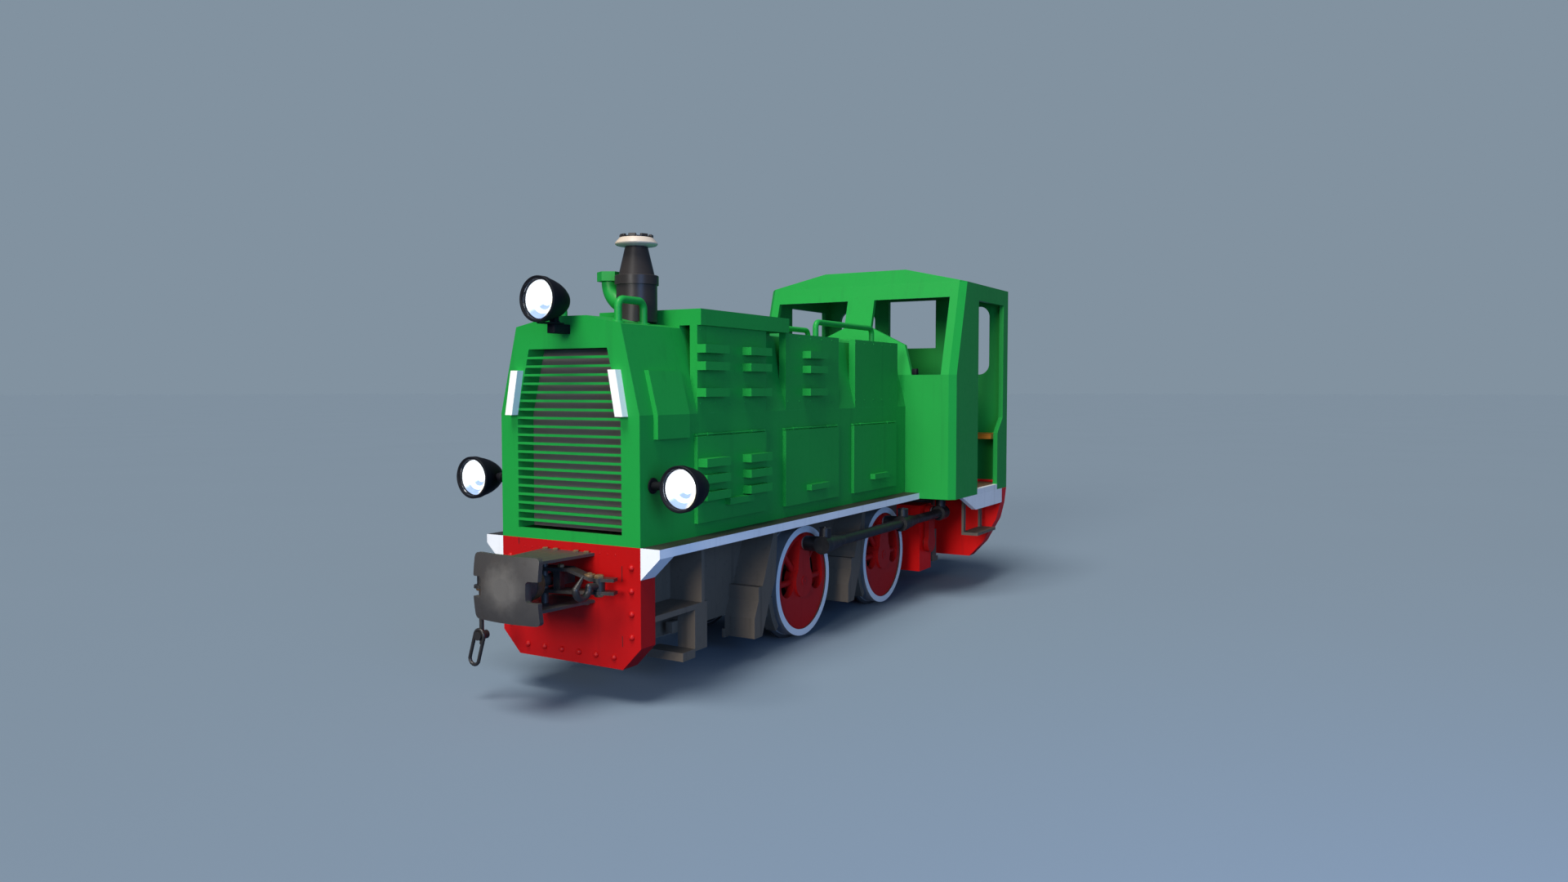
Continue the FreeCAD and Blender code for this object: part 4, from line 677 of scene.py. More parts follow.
@dataclass(frozen=True)
class CastSteel(Finish):
    """Dark cast or forged steel, oiled and a little rusty."""

    metal: Colour
    rust: Colour
    rusting: float = 0.4
    gloss: float = 0.42
    grain: float = 0.0002
    metallic: float = 0.25
    rub: float = 0.5
    rub_width: float = 0.004
    edge: Colour = (0.16, 0.15, 0.14)

    def tint(self, wiring: Wiring, cast: Socket) -> Socket:
        """The casting's colour, which a worn face changes."""
        return cast

    def dress(self, wiring: Wiring) -> dict[str, object]:
        """Lay the casting's skin and rub its edges.

        Args:
            wiring: The material's wiring.

        Returns:
            The shader's inputs, by name.
        """
        cast = CastSkin().place(wiring, metal=self.metal, rust=self.rust, rusting=self.rusting,
                                gloss=self.gloss, grain=self.grain)
        rubbed = EdgeRub().place(wiring, width=self.rub_width, amount=self.rub)["Mask"]
        return {"Base Color": wiring.mix(rubbed, self.tint(wiring, cast["Colour"]), self.edge),
                "Roughness": cast["Roughness"], "Normal": cast["Normal"], "Metallic": self.metallic}


@dataclass(frozen=True)
class HeadSteel(CastSteel):
    """Buffer casting whose face is rubbed lighter round its middle."""

    middle: Place = (0.0, 0.0, 0.0)
    worn: Colour = (0.15, 0.135, 0.115)
    # how much lower than wide the worn patch is, where it fades out and how ragged its edge is
    squash: float = 1.1
    fade_band: Band = (0.03, 0.19)
    blotch: Grain = Grain(11.0, 5.0, 0.65)
    blotch_w: float = 0.16
    face_band: Band = (-0.05, -0.03)

    def tint(self, wiring: Wiring, cast: Socket) -> Socket:
        """Fade the worn tone out from the middle of the face.

        Args:
            wiring: The material's wiring.
            cast: The casting's colour.

        Returns:
            The colour with the worn face.
        """
        ahead, out, up = self.middle
        place = wiring.place()
        offset = wiring.stretch(place, (0.0, 1.0, self.squash), (0.0, -out, -self.squash * up))
        ragged = wiring.sway(wiring.noise(place, self.blotch), self.blotch_w, wiring.length(offset))
        face = wiring.ramp(wiring.math("ABSOLUTE", wiring.split(place)[0]), self.face_band, ahead)
        near = wiring.fall(ragged, self.fade_band)
        return wiring.mix(wiring.product(near, face), cast, self.worn)


@dataclass(frozen=True)
class RadiatorCore(Finish):
    """Brown-grey radiator with close fins between upright tubes and painted shade in the gaps between them.
    """

    metal: Colour = (0.062, 0.052, 0.045)
    # dark tone of the painted shade between fins and tubes, also used for dirt
    gap_shade_and_dirt: Colour = (0.03, 0.026, 0.024)
    fin_pitch: float = 0.006
    fin_share: float = 0.4
    tube_pitch: float = 0.022
    tube_band: Band = (0.2, 0.7)
    metal_band: Band = (-0.2, 0.6)
    dirt: Grain = Grain(8.0, 4.0)
    dirt_band: Band = (0.5, 0.8)
    roughness: Band = (0.5, 0.8)
    height: float = 0.001

    def dress(self, wiring: Wiring) -> dict[str, object]:
        """Cross level fins with upright tubes, dark with painted shade between them.

        Args:
            wiring: The material's wiring.

        Returns:
            The shader's inputs, by name.
        """
        _, across, rise = wiring.split(wiring.place())
        fins, tubes = (wiring.math("SINE", wiring.product(way, FULL_TURN / pitch))
                       for way, pitch in ((rise, self.fin_pitch), (across, self.tube_pitch)))
        height = wiring.math("MAXIMUM", wiring.product(fins, self.fin_share),
                             wiring.ramp(tubes, self.tube_band))
        dirt = wiring.noise(wiring.place(), self.dirt)
        colour = wiring.mix(wiring.ramp(height, self.metal_band), self.gap_shade_and_dirt, self.metal)
        # dirty patches take the same dark tone as the painted shade
        return {"Base Color": wiring.mix(wiring.ramp(dirt, self.dirt_band), colour, self.gap_shade_and_dirt),
                "Roughness": wiring.slide(dirt, *self.roughness),
                "Normal": wiring.bump(height, self.height)}


@dataclass(frozen=True)
class TreadPlate(Finish):
    """Worn chequer plate."""

    plate: Colour = (0.034, 0.028, 0.024)
    crest: Colour = (0.1, 0.09, 0.08)
    pitch: float = 0.03
    wear: Grain = Grain(3.5, 4.0)
    wear_band: Band = (0.35, 0.7)
    roughness: Band = (0.7, 0.45)
    height: float = 0.0015

    def dress(self, wiring: Wiring) -> dict[str, object]:
        """Raise the lozenges and brighten their tops.

        Args:
            wiring: The material's wiring.

        Returns:
            The shader's inputs, by name.
        """
        height = Chequer().place(wiring, pitch=self.pitch)["Height"]
        wear = wiring.ramp(wiring.noise(wiring.place(), self.wear), self.wear_band)
        return {"Base Color": wiring.mix(wiring.product(height, wear), self.plate, self.crest),
                "Roughness": wiring.slide(wear, *self.roughness), "Normal": wiring.bump(height, self.height)}


@dataclass(frozen=True)
class Varnish(Finish):
    """Varnished bench wood with its grain along the plank."""

    light: Colour = (0.56, 0.19, 0.012)
    dark: Colour = (0.28, 0.085, 0.006)
    rings: Grain = Grain(3.0, 4.0, 0.6)
    ring_stretch: Place = (14.0, 0.7, 14.0)
    ring_band: Band = (0.3, 0.7)
    pores: Grain = Grain(1.0)
    pore_stretch: Place = (300.0, 6.0, 300.0)
    pore_share: float = 0.3
    roughness: Band = (0.28, 0.5)
    height: float = 0.0004

    def dress(self, wiring: Wiring) -> dict[str, object]:
        """Stretch rings and pores along Y.

        Args:
            wiring: The material's wiring.

        Returns:
            The shader's inputs, by name.
        """
        place = wiring.place()
        rings = wiring.noise(wiring.stretch(place, self.ring_stretch), self.rings)
        pores = wiring.noise(wiring.stretch(place, self.pore_stretch), self.pores)
        grain = wiring.math("MULTIPLY_ADD", pores, self.pore_share, wiring.ramp(rings, self.ring_band))
        return {"Base Color": wiring.mix(grain, self.light, self.dark),
                "Roughness": wiring.slide(pores, *self.roughness), "Normal": wiring.bump(grain, self.height)}


@dataclass(frozen=True)
class LampWhite(Finish):
    """Lit lamp optic: white, with painted shade and light on two rings of facets in its lower half."""

    middle: Place
    radius: float
    bright: Colour = (1.0, 1.0, 0.99)
    # bluish painted shade and cream painted light on the facets
    shade_blue: Colour = (0.38, 0.5, 0.74)
    lit_cream: Colour = (0.9, 0.78, 0.6)
    glow: float = 0.75
    # (inner, outer) share of the radius of each ring, and how softly it starts and ends
    rings: tuple[Spot, ...] = ((0.3, 0.48), (0.7, 0.94))
    blend: float = 0.03
    # how far the half with painted shade leans to the left, and where the painted shade starts and turns to
    # painted cream light
    lean: float = 0.35
    hub: float = 0.05
    low_band: Band = (0.1, 0.55)
    lit_cream_band: Band = (0.1, 0.45)
    roughness: Band = (0.3, 0.15)

    def dress(self, wiring: Wiring) -> dict[str, object]:
        """Paint shade and light on the rings: bluish shade below, cream light at the side.

        Args:
            wiring: The material's wiring.

        Returns:
            The shader's inputs, by name.
        """
        scale, (_, out, up) = 1 / self.radius, self.middle
        offset = wiring.stretch(wiring.place(), (0.0, scale, scale), (0.0, -out * scale, -up * scale))
        _, out, rise = wiring.split(offset)
        away = wiring.length(offset)
        rings = 0.0
        for inner, outer in self.rings:
            ring = wiring.product(wiring.ramp(away, (-self.blend, 0.0), inner),
                                  wiring.fall(away, (0.0, self.blend), outer))
            rings = wiring.math("ADD", rings, ring)
        lean = wiring.math("MULTIPLY_ADD", out, self.lean, wiring.product(rise, -1.0))
        low = wiring.ramp(wiring.math("DIVIDE", lean, wiring.math("MAXIMUM", away, self.hub)),
                          self.low_band)
        tint = wiring.mix(wiring.ramp(out, self.lit_cream_band), self.shade_blue, self.lit_cream)
        tone = wiring.mix(wiring.product(rings, low), self.bright, tint)
        return {"Base Color": tone, "Emission Color": tone, "Emission Strength": self.glow,
                "Roughness": wiring.slide(rings, *self.roughness)}


@dataclass(frozen=True)
class ClearGlass(Finish):
    """Clear lens glass with slight casting waves."""

    clear: Colour = (0.97, 0.99, 1.0)
    tinted: Colour = (0.93, 0.97, 1.0)
    waves: Grain = Grain(40.0)
    roughness: Band = (0.01, 0.05)
    height: float = 0.00005
    refraction: float = 1.48

    def dress(self, wiring: Wiring) -> dict[str, object]:
        """Glass with an uneven surface."""
        wave = wiring.noise(wiring.place(), self.waves)
        return {"Base Color": wiring.mix(wave, self.clear, self.tinted),
                "Roughness": wiring.slide(wave, *self.roughness), "Normal": wiring.bump(wave, self.height),
                "Transmission Weight": 1.0, "IOR": self.refraction}


@dataclass(frozen=True)
class StudioFloor(Finish):
    """Pale matt floor that throws little light back up."""

    shade: Colour = (0.184, 0.237, 0.29)
    bounce: Colour = (0.06, 0.095, 0.17)
    cloud: Grain = Grain(0.3)
    cloud_tone: float = 0.97
    roughness: Band = (0.8, 0.9)
    shine: float = 0.1

    def dress(self, wiring: Wiring) -> dict[str, object]:
        """Lay an even tone with the faintest cloud.

        Args:
            wiring: The material's wiring.

        Returns:
            The shader's inputs, by name.
        """
        cloud = wiring.noise(wiring.place(), self.cloud)
        darker = tuple(self.cloud_tone * part for part in self.shade)
        seen = wiring.add("ShaderNodeLightPath").outputs["Is Camera Ray"]
        tone = wiring.mix(seen, self.bounce, wiring.mix(cloud, self.shade, darker))
        return {"Base Color": tone, "Roughness": wiring.slide(cloud, *self.roughness),
                "Specular IOR Level": self.shine}


GREEN = Paint("green_gloss", coat=chart(27, 148, 58), grime=chart(14, 70, 34), edge=chart(60, 176, 92),
              dust=chart(70, 140, 78), streak=0.16)
CAB_SIDE_GREEN = ThresholdPaint("green_cab_side", coat=GREEN.coat, grime=GREEN.grime, edge=GREEN.edge,
                                dust=GREEN.dust, streak=GREEN.streak)
# coat somewhat lighter than the beam's red paint, partly painted light to lift the beam where the coupler
# shades it
RED = Paint("red_gloss", coat=chart(176, 12, 12), grime=chart(92, 8, 8), edge=chart(210, 40, 34),
            dust=chart(150, 50, 42), streak=0.16)
# brighter than the real red paint: painted light on the rear beam, final drive and cab skirting, which lie
# in shade
SHADE_LIFT_RED = Paint("red_lifted_for_shade", coat=chart(252, 18, 15), grime=chart(140, 12, 10), edge=chart(252, 60, 50),
                  dust=chart(170, 60, 50), streak=0.2)
WHEEL_RED = WheelPaint("red_wheel", coat=chart(186, 20, 18), grime=chart(70, 10, 8),
                       edge=chart(205, 55, 45), dust=chart(150, 70, 58), streak=0.2)
CRANK_RED = replace(WHEEL_RED, name="red_crank", centre=(0.506, 0.557))
WHITE = Paint("white_gloss", coat=(0.88, 0.88, 0.87), grime=(0.3, 0.28, 0.25), edge=(0.5, 0.49, 0.47),
              dust=(0.6, 0.58, 0.54), streak=0.16, rub=0.2)
MARKER_WHITE = Paint("marker_white", coat=(0.96, 0.93, 0.82), grime=(0.5, 0.46, 0.4),
                     edge=(0.6, 0.58, 0.54), dust=(0.7, 0.67, 0.6), rub=0.15)
BOARDS = BoardPaint("board_white_and_tread", coat=(0.84, 0.84, 0.83), grime=(0.14, 0.12, 0.1),
                    edge=(0.4, 0.39, 0.37), dust=(0.09, 0.08, 0.07), rub=0.15)
# coat far lighter than the frame's near-black paint: painted light on underframe parts that the beams and
# running boards shade
BLACK = Paint("black_frame", coat=chart(104, 92, 78), grime=chart(52, 46, 40), edge=chart(130, 120, 110),
              dust=chart(112, 102, 92), gloss=0.5, streak=0.4, mottle=0.3, dusting=0.25, rub=0.5)
LAMP_BLACK = Paint("lamp_black", coat=chart(16, 17, 22), grime=chart(10, 10, 12), edge=chart(40, 40, 42),
                   dust=chart(36, 36, 38), gloss=0.55, dusting=0.12, rub=0.15, shine=0.15)
STACK = Paint("stack_black", coat=chart(50, 45, 42), grime=chart(26, 24, 22), edge=chart(84, 76, 70),
              dust=chart(70, 62, 56), gloss=0.36, streak=0.35, mottle=0.3, rub=0.4)
CREAM = Paint("stack_cream", coat=chart(206, 188, 166), grime=chart(120, 100, 84),
              edge=chart(180, 165, 150), dust=chart(190, 176, 160), gloss=0.35, streak=0.25, rub=0.2)
DESK = Paint("desk_green", coat=chart(26, 92, 52), grime=chart(14, 44, 26), edge=chart(70, 120, 84),
             rub=0.3)
ENGINE = Paint("engine_grey", coat=chart(120, 124, 126), grime=chart(40, 38, 36),
               edge=chart(160, 160, 160), streak=0.5, gloss=0.5)
ROD_STEEL = CastSteel("rod_steel", metal=chart(18, 18, 19), rust=chart(44, 40, 36), metallic=0.0,
                      grain=0.0001, rub=0.25, edge=chart(90, 88, 84))
FORGED = CastSteel("forged_steel", metal=chart(48, 45, 43), rust=chart(96, 70, 46), rusting=0.45, gloss=0.4)
BRONZE = CastSteel("rusty_bolt", metal=chart(112, 86, 56), rust=chart(84, 56, 34), rusting=0.6, gloss=0.5,
                   metallic=0.3, edge=chart(150, 124, 92))
SEAM = CastSteel("seam_dark", metal=chart(26, 14, 14), rust=chart(40, 20, 18), rusting=0.3, gloss=0.6,
                 metallic=0.0, rub=0.0)
SPRING = CastSteel("spring_rust", metal=chart(104, 74, 44), rust=chart(66, 46, 32), rusting=0.7, gloss=0.5)
HEAD = HeadSteel("head_steel", metal=chart(70, 66, 62), rust=chart(58, 50, 44), rusting=0.5, gloss=0.5)
CORE = RadiatorCore("radiator_core")
FLOOR_PLATE = TreadPlate("floor_plate")
BENCH_WOOD = Varnish("bench_varnish")
LENS = ClearGlass("lamp_glass")
STUDIO = StudioFloor("studio_floor")


# ---------------------------------------------------------------- mesh tool
class Shape:
    """One piece's mesh, put together with bmesh operators."""

    # vertices closer than this are one
    merge: float = 1e-6
    # a nut's chamfer as a share of its width, and the share of its height over which its top lies
    chamfer: float = 0.12
    crest: float = 0.9
    # faces from pole to pole of a rivet head
    dome_steps: int = 8

    def __init__(self) -> None:
        """Start with an empty mesh."""
        self.mesh = bmesh.new()

    @staticmethod
    def aimed(place: Vector, way: Vector) -> Matrix:
        """Transform that puts the local origin at a place and local Z along a way."""
        return Matrix.Translation(place) @ Vector(way).to_track_quat("Z", "Y").to_matrix().to_4x4()

    def ease(self, edges: list[bmesh.types.BMEdge], width: float, segments: int) -> None:
        """Bevel some edges."""
        bmesh.ops.bevel(self.mesh, geom=edges, offset=width, offset_type="OFFSET", affect="EDGES",
                        segments=segments, profile=0.5, material=-1)

    def soften(self, verts: list[bmesh.types.BMVert], width: float, segments: int,
               turn: float = 40.0) -> None:
        """Bevel the edges among some vertices where the surface turns sharply.

        Args:
            verts: Vertices of the part to soften.
            width: Width of the bevel.
            segments: Faces across the bevel.
            turn: Least angle between two faces, in degrees, that counts as sharp.
        """
        self.mesh.normal_update()
        edges = {e for v in verts for e in v.link_edges if len(e.link_faces) == 2}
        self.ease([e for e in edges if e.calc_face_angle(0.0) > math.radians(turn)], width, segments)

    def block(self, low: Place, high: Place, bevel: float = 0.0, segments: int = 2) -> "Shape":
        """Add a box between two corners.

        Args:
            low: One corner.
            high: The corner across from it.
            bevel: Width of the softened edges.
            segments: Faces across a softened edge.

        Returns:
            This shape.
        """
        lows = Vector([min(a, b) for a, b in zip(low, high)])
        highs = Vector([max(a, b) for a, b in zip(low, high)])
        place = Matrix.Translation((lows + highs) / 2) @ Matrix.Diagonal((*(highs - lows), 1.0))
        made = bmesh.ops.create_cube(self.mesh, size=1.0, matrix=place)
        if bevel:
            self.soften(made["verts"], bevel, segments)
        return self

    def bar(self, start: Place, end: Place, radius: float, end_radius: float | None = None,
            sides: int = 24, bevel: float = 0.0) -> "Shape":
        """Add a round bar or taper between two points.

        Args:
            start: Centre of the first end.
            end: Centre of the second end.
            radius: Radius at the first end.
            end_radius: Radius at the second end, where it differs.
            sides: Faces round the bar.
            bevel: Width of the softened end edges.

        Returns:
            This shape.
        """
        start, end = Vector(start), Vector(end)
        made = bmesh.ops.create_cone(self.mesh, cap_ends=True, cap_tris=False, segments=sides,
                                     radius1=radius, radius2=radius if end_radius is None else end_radius,
                                     depth=(end - start).length,
                                     matrix=self.aimed((start + end) / 2, end - start))
        if bevel:
            self.soften(made["verts"], bevel, 2)
        return self

    def nut(self, seat: Place, way: Vector, across: float, height: float) -> "Shape":
        """Add a six-sided nut or bolt head with a chamfered top, standing on a surface.

        Args:
            seat: Middle of its foot.
            way: Direction that its top looks in.
            across: Width across its flats.
            height: How tall it is.

        Returns:
            This shape.
        """
        seat, way = Vector(seat), Vector(way).normalized()
        radius = across / math.sqrt(3)
        made = bmesh.ops.create_cone(self.mesh, cap_ends=True, cap_tris=False, segments=6, radius1=radius,
                                     radius2=radius, depth=height,
                                     matrix=self.aimed(seat + way * height / 2, way))
        top = {e for v in made["verts"] for e in v.link_edges
               if all((w.co - seat).dot(way) > self.crest * height for w in e.verts)}
        self.ease(list(top), self.chamfer * across, 1)
        return self

    def dome(self, seat: Place, way: Vector, radius: float, height: float, sides: int = 14) -> "Shape":
        """Add a round rivet head, half sunk so that it closes on its surface.

        Args:
            seat: Middle of the head, on the surface.
            way: Direction that the head looks in.
            radius: Radius of the head.
            height: How far it stands out.
            sides: Faces round the head.

        Returns:
            This shape.
        """
        place = self.aimed(Vector(seat), way) @ Matrix.Diagonal((radius, radius, height, 1.0))
        bmesh.ops.create_uvsphere(self.mesh, u_segments=sides, v_segments=self.dome_steps, radius=1.0,
                                  matrix=place)
        return self

    def lathe(self, profile: list[Spot], seat: Place, way: Vector, steps: int = 48,
              closed: bool = False) -> "Shape":
        """Turn an outline round an axis.

        Args:
            profile: (radius, distance along the axis) of each corner of the outline.
            seat: Where the axis starts.
            way: Direction of the axis.
            steps: Faces round the axis.
            closed: Whether the last corner joins the first, as on a ring.

        Returns:
            This shape.
        """
        seat, way = Vector(seat), Vector(way).normalized()
        place = self.aimed(seat, way)
        verts = [self.mesh.verts.new(place @ Vector((radius, 0.0, along))) for radius, along in profile]
        pairs = list(zip(verts, verts[1:])) + ([(verts[-1], verts[0])] if closed else [])
        edges = [self.mesh.edges.new(pair) for pair in pairs]
        bmesh.ops.spin(self.mesh, geom=verts + edges, cent=seat, axis=way, dvec=(0, 0, 0),
                       angle=FULL_TURN, steps=steps, use_merge=True, use_duplicate=False)
        return self

    def ring(self, centre: Place, way: Vector, radius: float, thick: float, steps: int = 48,
             sides: int = 12) -> "Shape":
        """Add a round ring of round section.

        Args:
            centre: Middle of the ring.
            way: Direction of its axis.
            radius: Radius of the middle of its section's path.
            thick: Radius of its section.
            steps: Faces round the axis.
            sides: Faces round the section.

        Returns:
            This shape.
        """
        turns = [FULL_TURN * i / sides for i in range(sides)]
        profile = [(radius + thick * math.cos(a), thick * math.sin(a)) for a in turns]
        return self.lathe(profile, centre, way, steps, closed=True)

    def finish(self, name: str, finish: Finish, body: str, slot: str, replaces: tuple[str, ...] = (),
               smooth: float = 35.0) -> bpy.types.Object:
        """Close the mesh into a named piece and hang it on its body.

        Args:
            name: The piece's name.
            finish: Its finish.
            body: The body that it moves with, or nothing for the stage.
            slot: The record's material slot of the piece; not used.
            replaces: Frame nodes that it stands for.
            smooth: Least angle, in degrees, at which an edge stays sharp.

        Returns:
            The new object.
        """
        bmesh.ops.remove_doubles(self.mesh, verts=self.mesh.verts, dist=self.merge)
        bmesh.ops.recalc_face_normals(self.mesh, faces=self.mesh.faces)
        data = bpy.data.meshes.new(name)
        self.mesh.to_mesh(data)
        self.mesh.free()
        data.materials.append(finish.material())
        data.shade_smooth()
        data.set_sharp_from_angle(angle=math.radians(smooth))
        piece = bpy.data.objects.new(name, data)
        bpy.context.scene.collection.objects.link(piece)
        if body:
            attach(piece, body)
        if replaces:
            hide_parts(*replaces)
        LOG.info("%s: %d faces on %s", name, len(data.polygons), body or "the stage")
        return piece


# ---------------------------------------------------------------- places from the frame
@dataclass(frozen=True)
class Datum:
    """Main places of the locomotive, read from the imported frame."""

    nose: float
    deck: float
    cab_rear: float

    @classmethod
    def read(cls) -> "Datum":
        """Read the hood's front, the running boards' top and the cab's rear face."""
        return cls(nose=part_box("nose_panel")[1].x, deck=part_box("running_boards")[1].z,
                   cab_rear=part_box("cab_rear")[0].x)

    def point(self, ahead: float, out: float, up: float) -> Vector:
        """Point from its place ahead of the nose, left of the centre line and above the deck."""
        return Vector((self.nose + ahead, out, self.deck + up))

    @staticmethod
    def joint(name: str) -> Vector:
        """Place of a joint in the frame."""
        found = next(j for j in frame["joints"] if j["name"] == name)
        return Vector(found["pos_m"])


# ---------------------------------------------------------------- sub-assemblies
@dataclass(frozen=True)
class FrameDressing:
    """Finishes of the frame's own nodes."""

    # the doorways' rear and front posts, ahead of the cab's rear face
    doorway: Spot = (0.27, 0.8)
    flange_h: float = 0.028

    def shared(self, datum: Datum) -> dict[Finish, tuple[str, ...]]:
        """List the finishes that need no place of their own node.

        Args:
            datum: The main places.

        Returns:
            The nodes of each finish.
        """
        rear_post, front_post = self.doorway
        cab_side = replace(CAB_SIDE_GREEN, foot=datum.deck,
                           doorway=(datum.cab_rear + rear_post, datum.cab_rear + front_post))
        doors = tuple(f"hood_door_{side}_{i}" for side, _ in HANDS for i in FLAPS)
        return {
            GREEN: ("hood", "nose_panel", "grille_slats", "upper_panels_left", "upper_panels_right",
                    "raised_casing", "intake_pipe", "hand_rails", "cab_front", "cab_rear", "cab_roof",
                    *doors),
            cab_side: ("cab_left", "cab_right"),
            RED: ("front_beam",),
            SHADE_LIFT_RED: ("rear_beam", "final_drive"),
            WHEEL_RED: ("front_wheelset", "rear_wheelset"),
            CRANK_RED: ("jackshaft",),
            WHITE: ("door_sills",),
            MARKER_WHITE: ("marker_bars",),
            BOARDS: ("running_boards",),
            BLACK: ("main_frame", "axleboxes", "sand_boxes", "brake_gear", "front_steps", "rear_steps",
                    "rear_hangers"),
            STACK: ("exhaust_stack",),
            LAMP_BLACK: ("headlamps",),
            ROD_STEEL: ("coupling_rod_left", "coupling_rod_right"),
            FORGED: ("front_equaliser", "rear_equaliser", "front_hook_and_chain", "rear_hook_and_chain"),
            CORE: ("radiator",),
            ENGINE: ("engine_block",),
            BENCH_WOOD: ("cab_bench",),
            FLOOR_PLATE: ("cab_floor",),
            DESK: ("control_desk",),
        }

    def placed(self, datum: Datum) -> dict[Finish, tuple[str, ...]]:
        """List the finishes that are centred on their own node.

        Args:
            datum: The main places.

        Returns:
            The node of each finish.
        """
        found: dict[Finish, tuple[str, ...]] = {}
        for end, way in ENDS:
            axle = datum.joint(f"{end}_axle_spin")
            low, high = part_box(f"{end}_tyres")
            tread_r = (high.z - low.z) / 2 - self.flange_h
            found[TyreSteel(f"{end}_tyre_steel", axle=(axle.x, axle.z), face=high.y,
                            tread_r=tread_r)] = (f"{end}_tyres",)
            low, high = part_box(f"{end}_draft_gear")
            face = high.x if way > 0 else low.x
            found[replace(HEAD, name=f"{end}_head_steel",
                          middle=(abs(face), 0.0, (low.z + high.z) / 2))] = (f"{end}_draft_gear",)
        return found

    def build(self, datum: Datum) -> None:
        """Give every node its finish.

        Args:
            datum: The main places.
        """
        finishes = self.shared(datum) | self.placed(datum)
        pairs = [(node, finish) for finish, nodes in finishes.items() for node in nodes]
        for node, finish in pairs:
            data = frame["nodes"][node].data
            data.materials.clear()
            data.materials.append(finish.material())
            LOG.info("%s: %s", node, finish.name)
        bare = set(frame["nodes"]) - {node for node, _ in pairs}
        if bare:
            raise ValueError(f"nodes without a finish: {sorted(bare)}")


@dataclass(frozen=True)
class BeamFittings:
    """Rivets and slots on the two end beams."""

    rivet_r: float = 0.0185
    rivet_h: float = 0.016
    column_y: float = 0.448
    column_up: tuple[float, ...] = (-0.115, -0.244, -0.372, -0.5)
    foot_up: float = -0.625
    foot_y: tuple[float, ...] = (-0.318, -0.191, -0.06, 0.068, 0.193, 0.322)
    small_r: float = 0.004
    small_sides: int = 8
    small_up: float = -0.05
    small_pitch: float = 0.056
    small_count: int = 13
    # (out, lower up, upper up) of each slot
    slots: tuple[tuple[float, float, float], ...] = ((-0.382, -0.039, -0.004), (0.382, -0.194, -0.108),
                                                     (0.382, -0.559, -0.498))
    slot_w: float = 0.004
    # how far a slot's dark strip goes into the beam and stands out of it
    slot_depth: float = 0.004
    slot_stand: float = 0.001

    def build(self, datum: Datum) -> None:
        """Make the rivets and slots of both beams.

        Args:
            datum: The main places.
        """
        faces = (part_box("front_beam")[1].x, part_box("rear_beam")[0].x)
        for (end, way), face in zip(ENDS, faces):
            self.rivets(datum, face, way).finish(f"{end}_beam_rivets", RED, "frame", "red_paint")
            self.seams(datum, face, way).finish(f"{end}_beam_slots", SEAM, "frame", "red_paint")

    def rivets(self, datum: Datum, face: float, way: int) -> Shape:
        """Make one beam's domed rivets.

        Args:
            datum: The main places.
            face: Where the beam's outer face is.
            way: 1 for the front beam and -1 for the rear one.

        Returns:
            The shape.
        """
        shape = Shape()
        spots = [(side * self.column_y, up) for side in SIDES for up in self.column_up]
        spots += [(out, self.foot_up) for out in self.foot_y]
        for out, up in spots:
            shape.dome((face, out * way, datum.deck + up), X * way, self.rivet_r, self.rivet_h)
        for i in range(self.small_count):
            out = (i - (self.small_count - 1) / 2) * self.small_pitch
            shape.dome((face, out, datum.deck + self.small_up), X * way, self.small_r, self.small_r / 2,
                       self.small_sides)
        return shape

    def seams(self, datum: Datum, face: float, way: int) -> Shape:
        """Make one beam's narrow dark slots.

        Args:
            datum: The main places.
            face: Where the beam's outer face is.
            way: 1 for the front beam and -1 for the rear one.

        Returns:
            The shape.
        """
        shape = Shape()
        for out, low, high in self.slots:
            mid = out * way
            shape.block((face - way * self.slot_depth, mid - self.slot_w / 2, datum.deck + low),
                        (face + way * self.slot_stand, mid + self.slot_w / 2, datum.deck + high))
        return shape


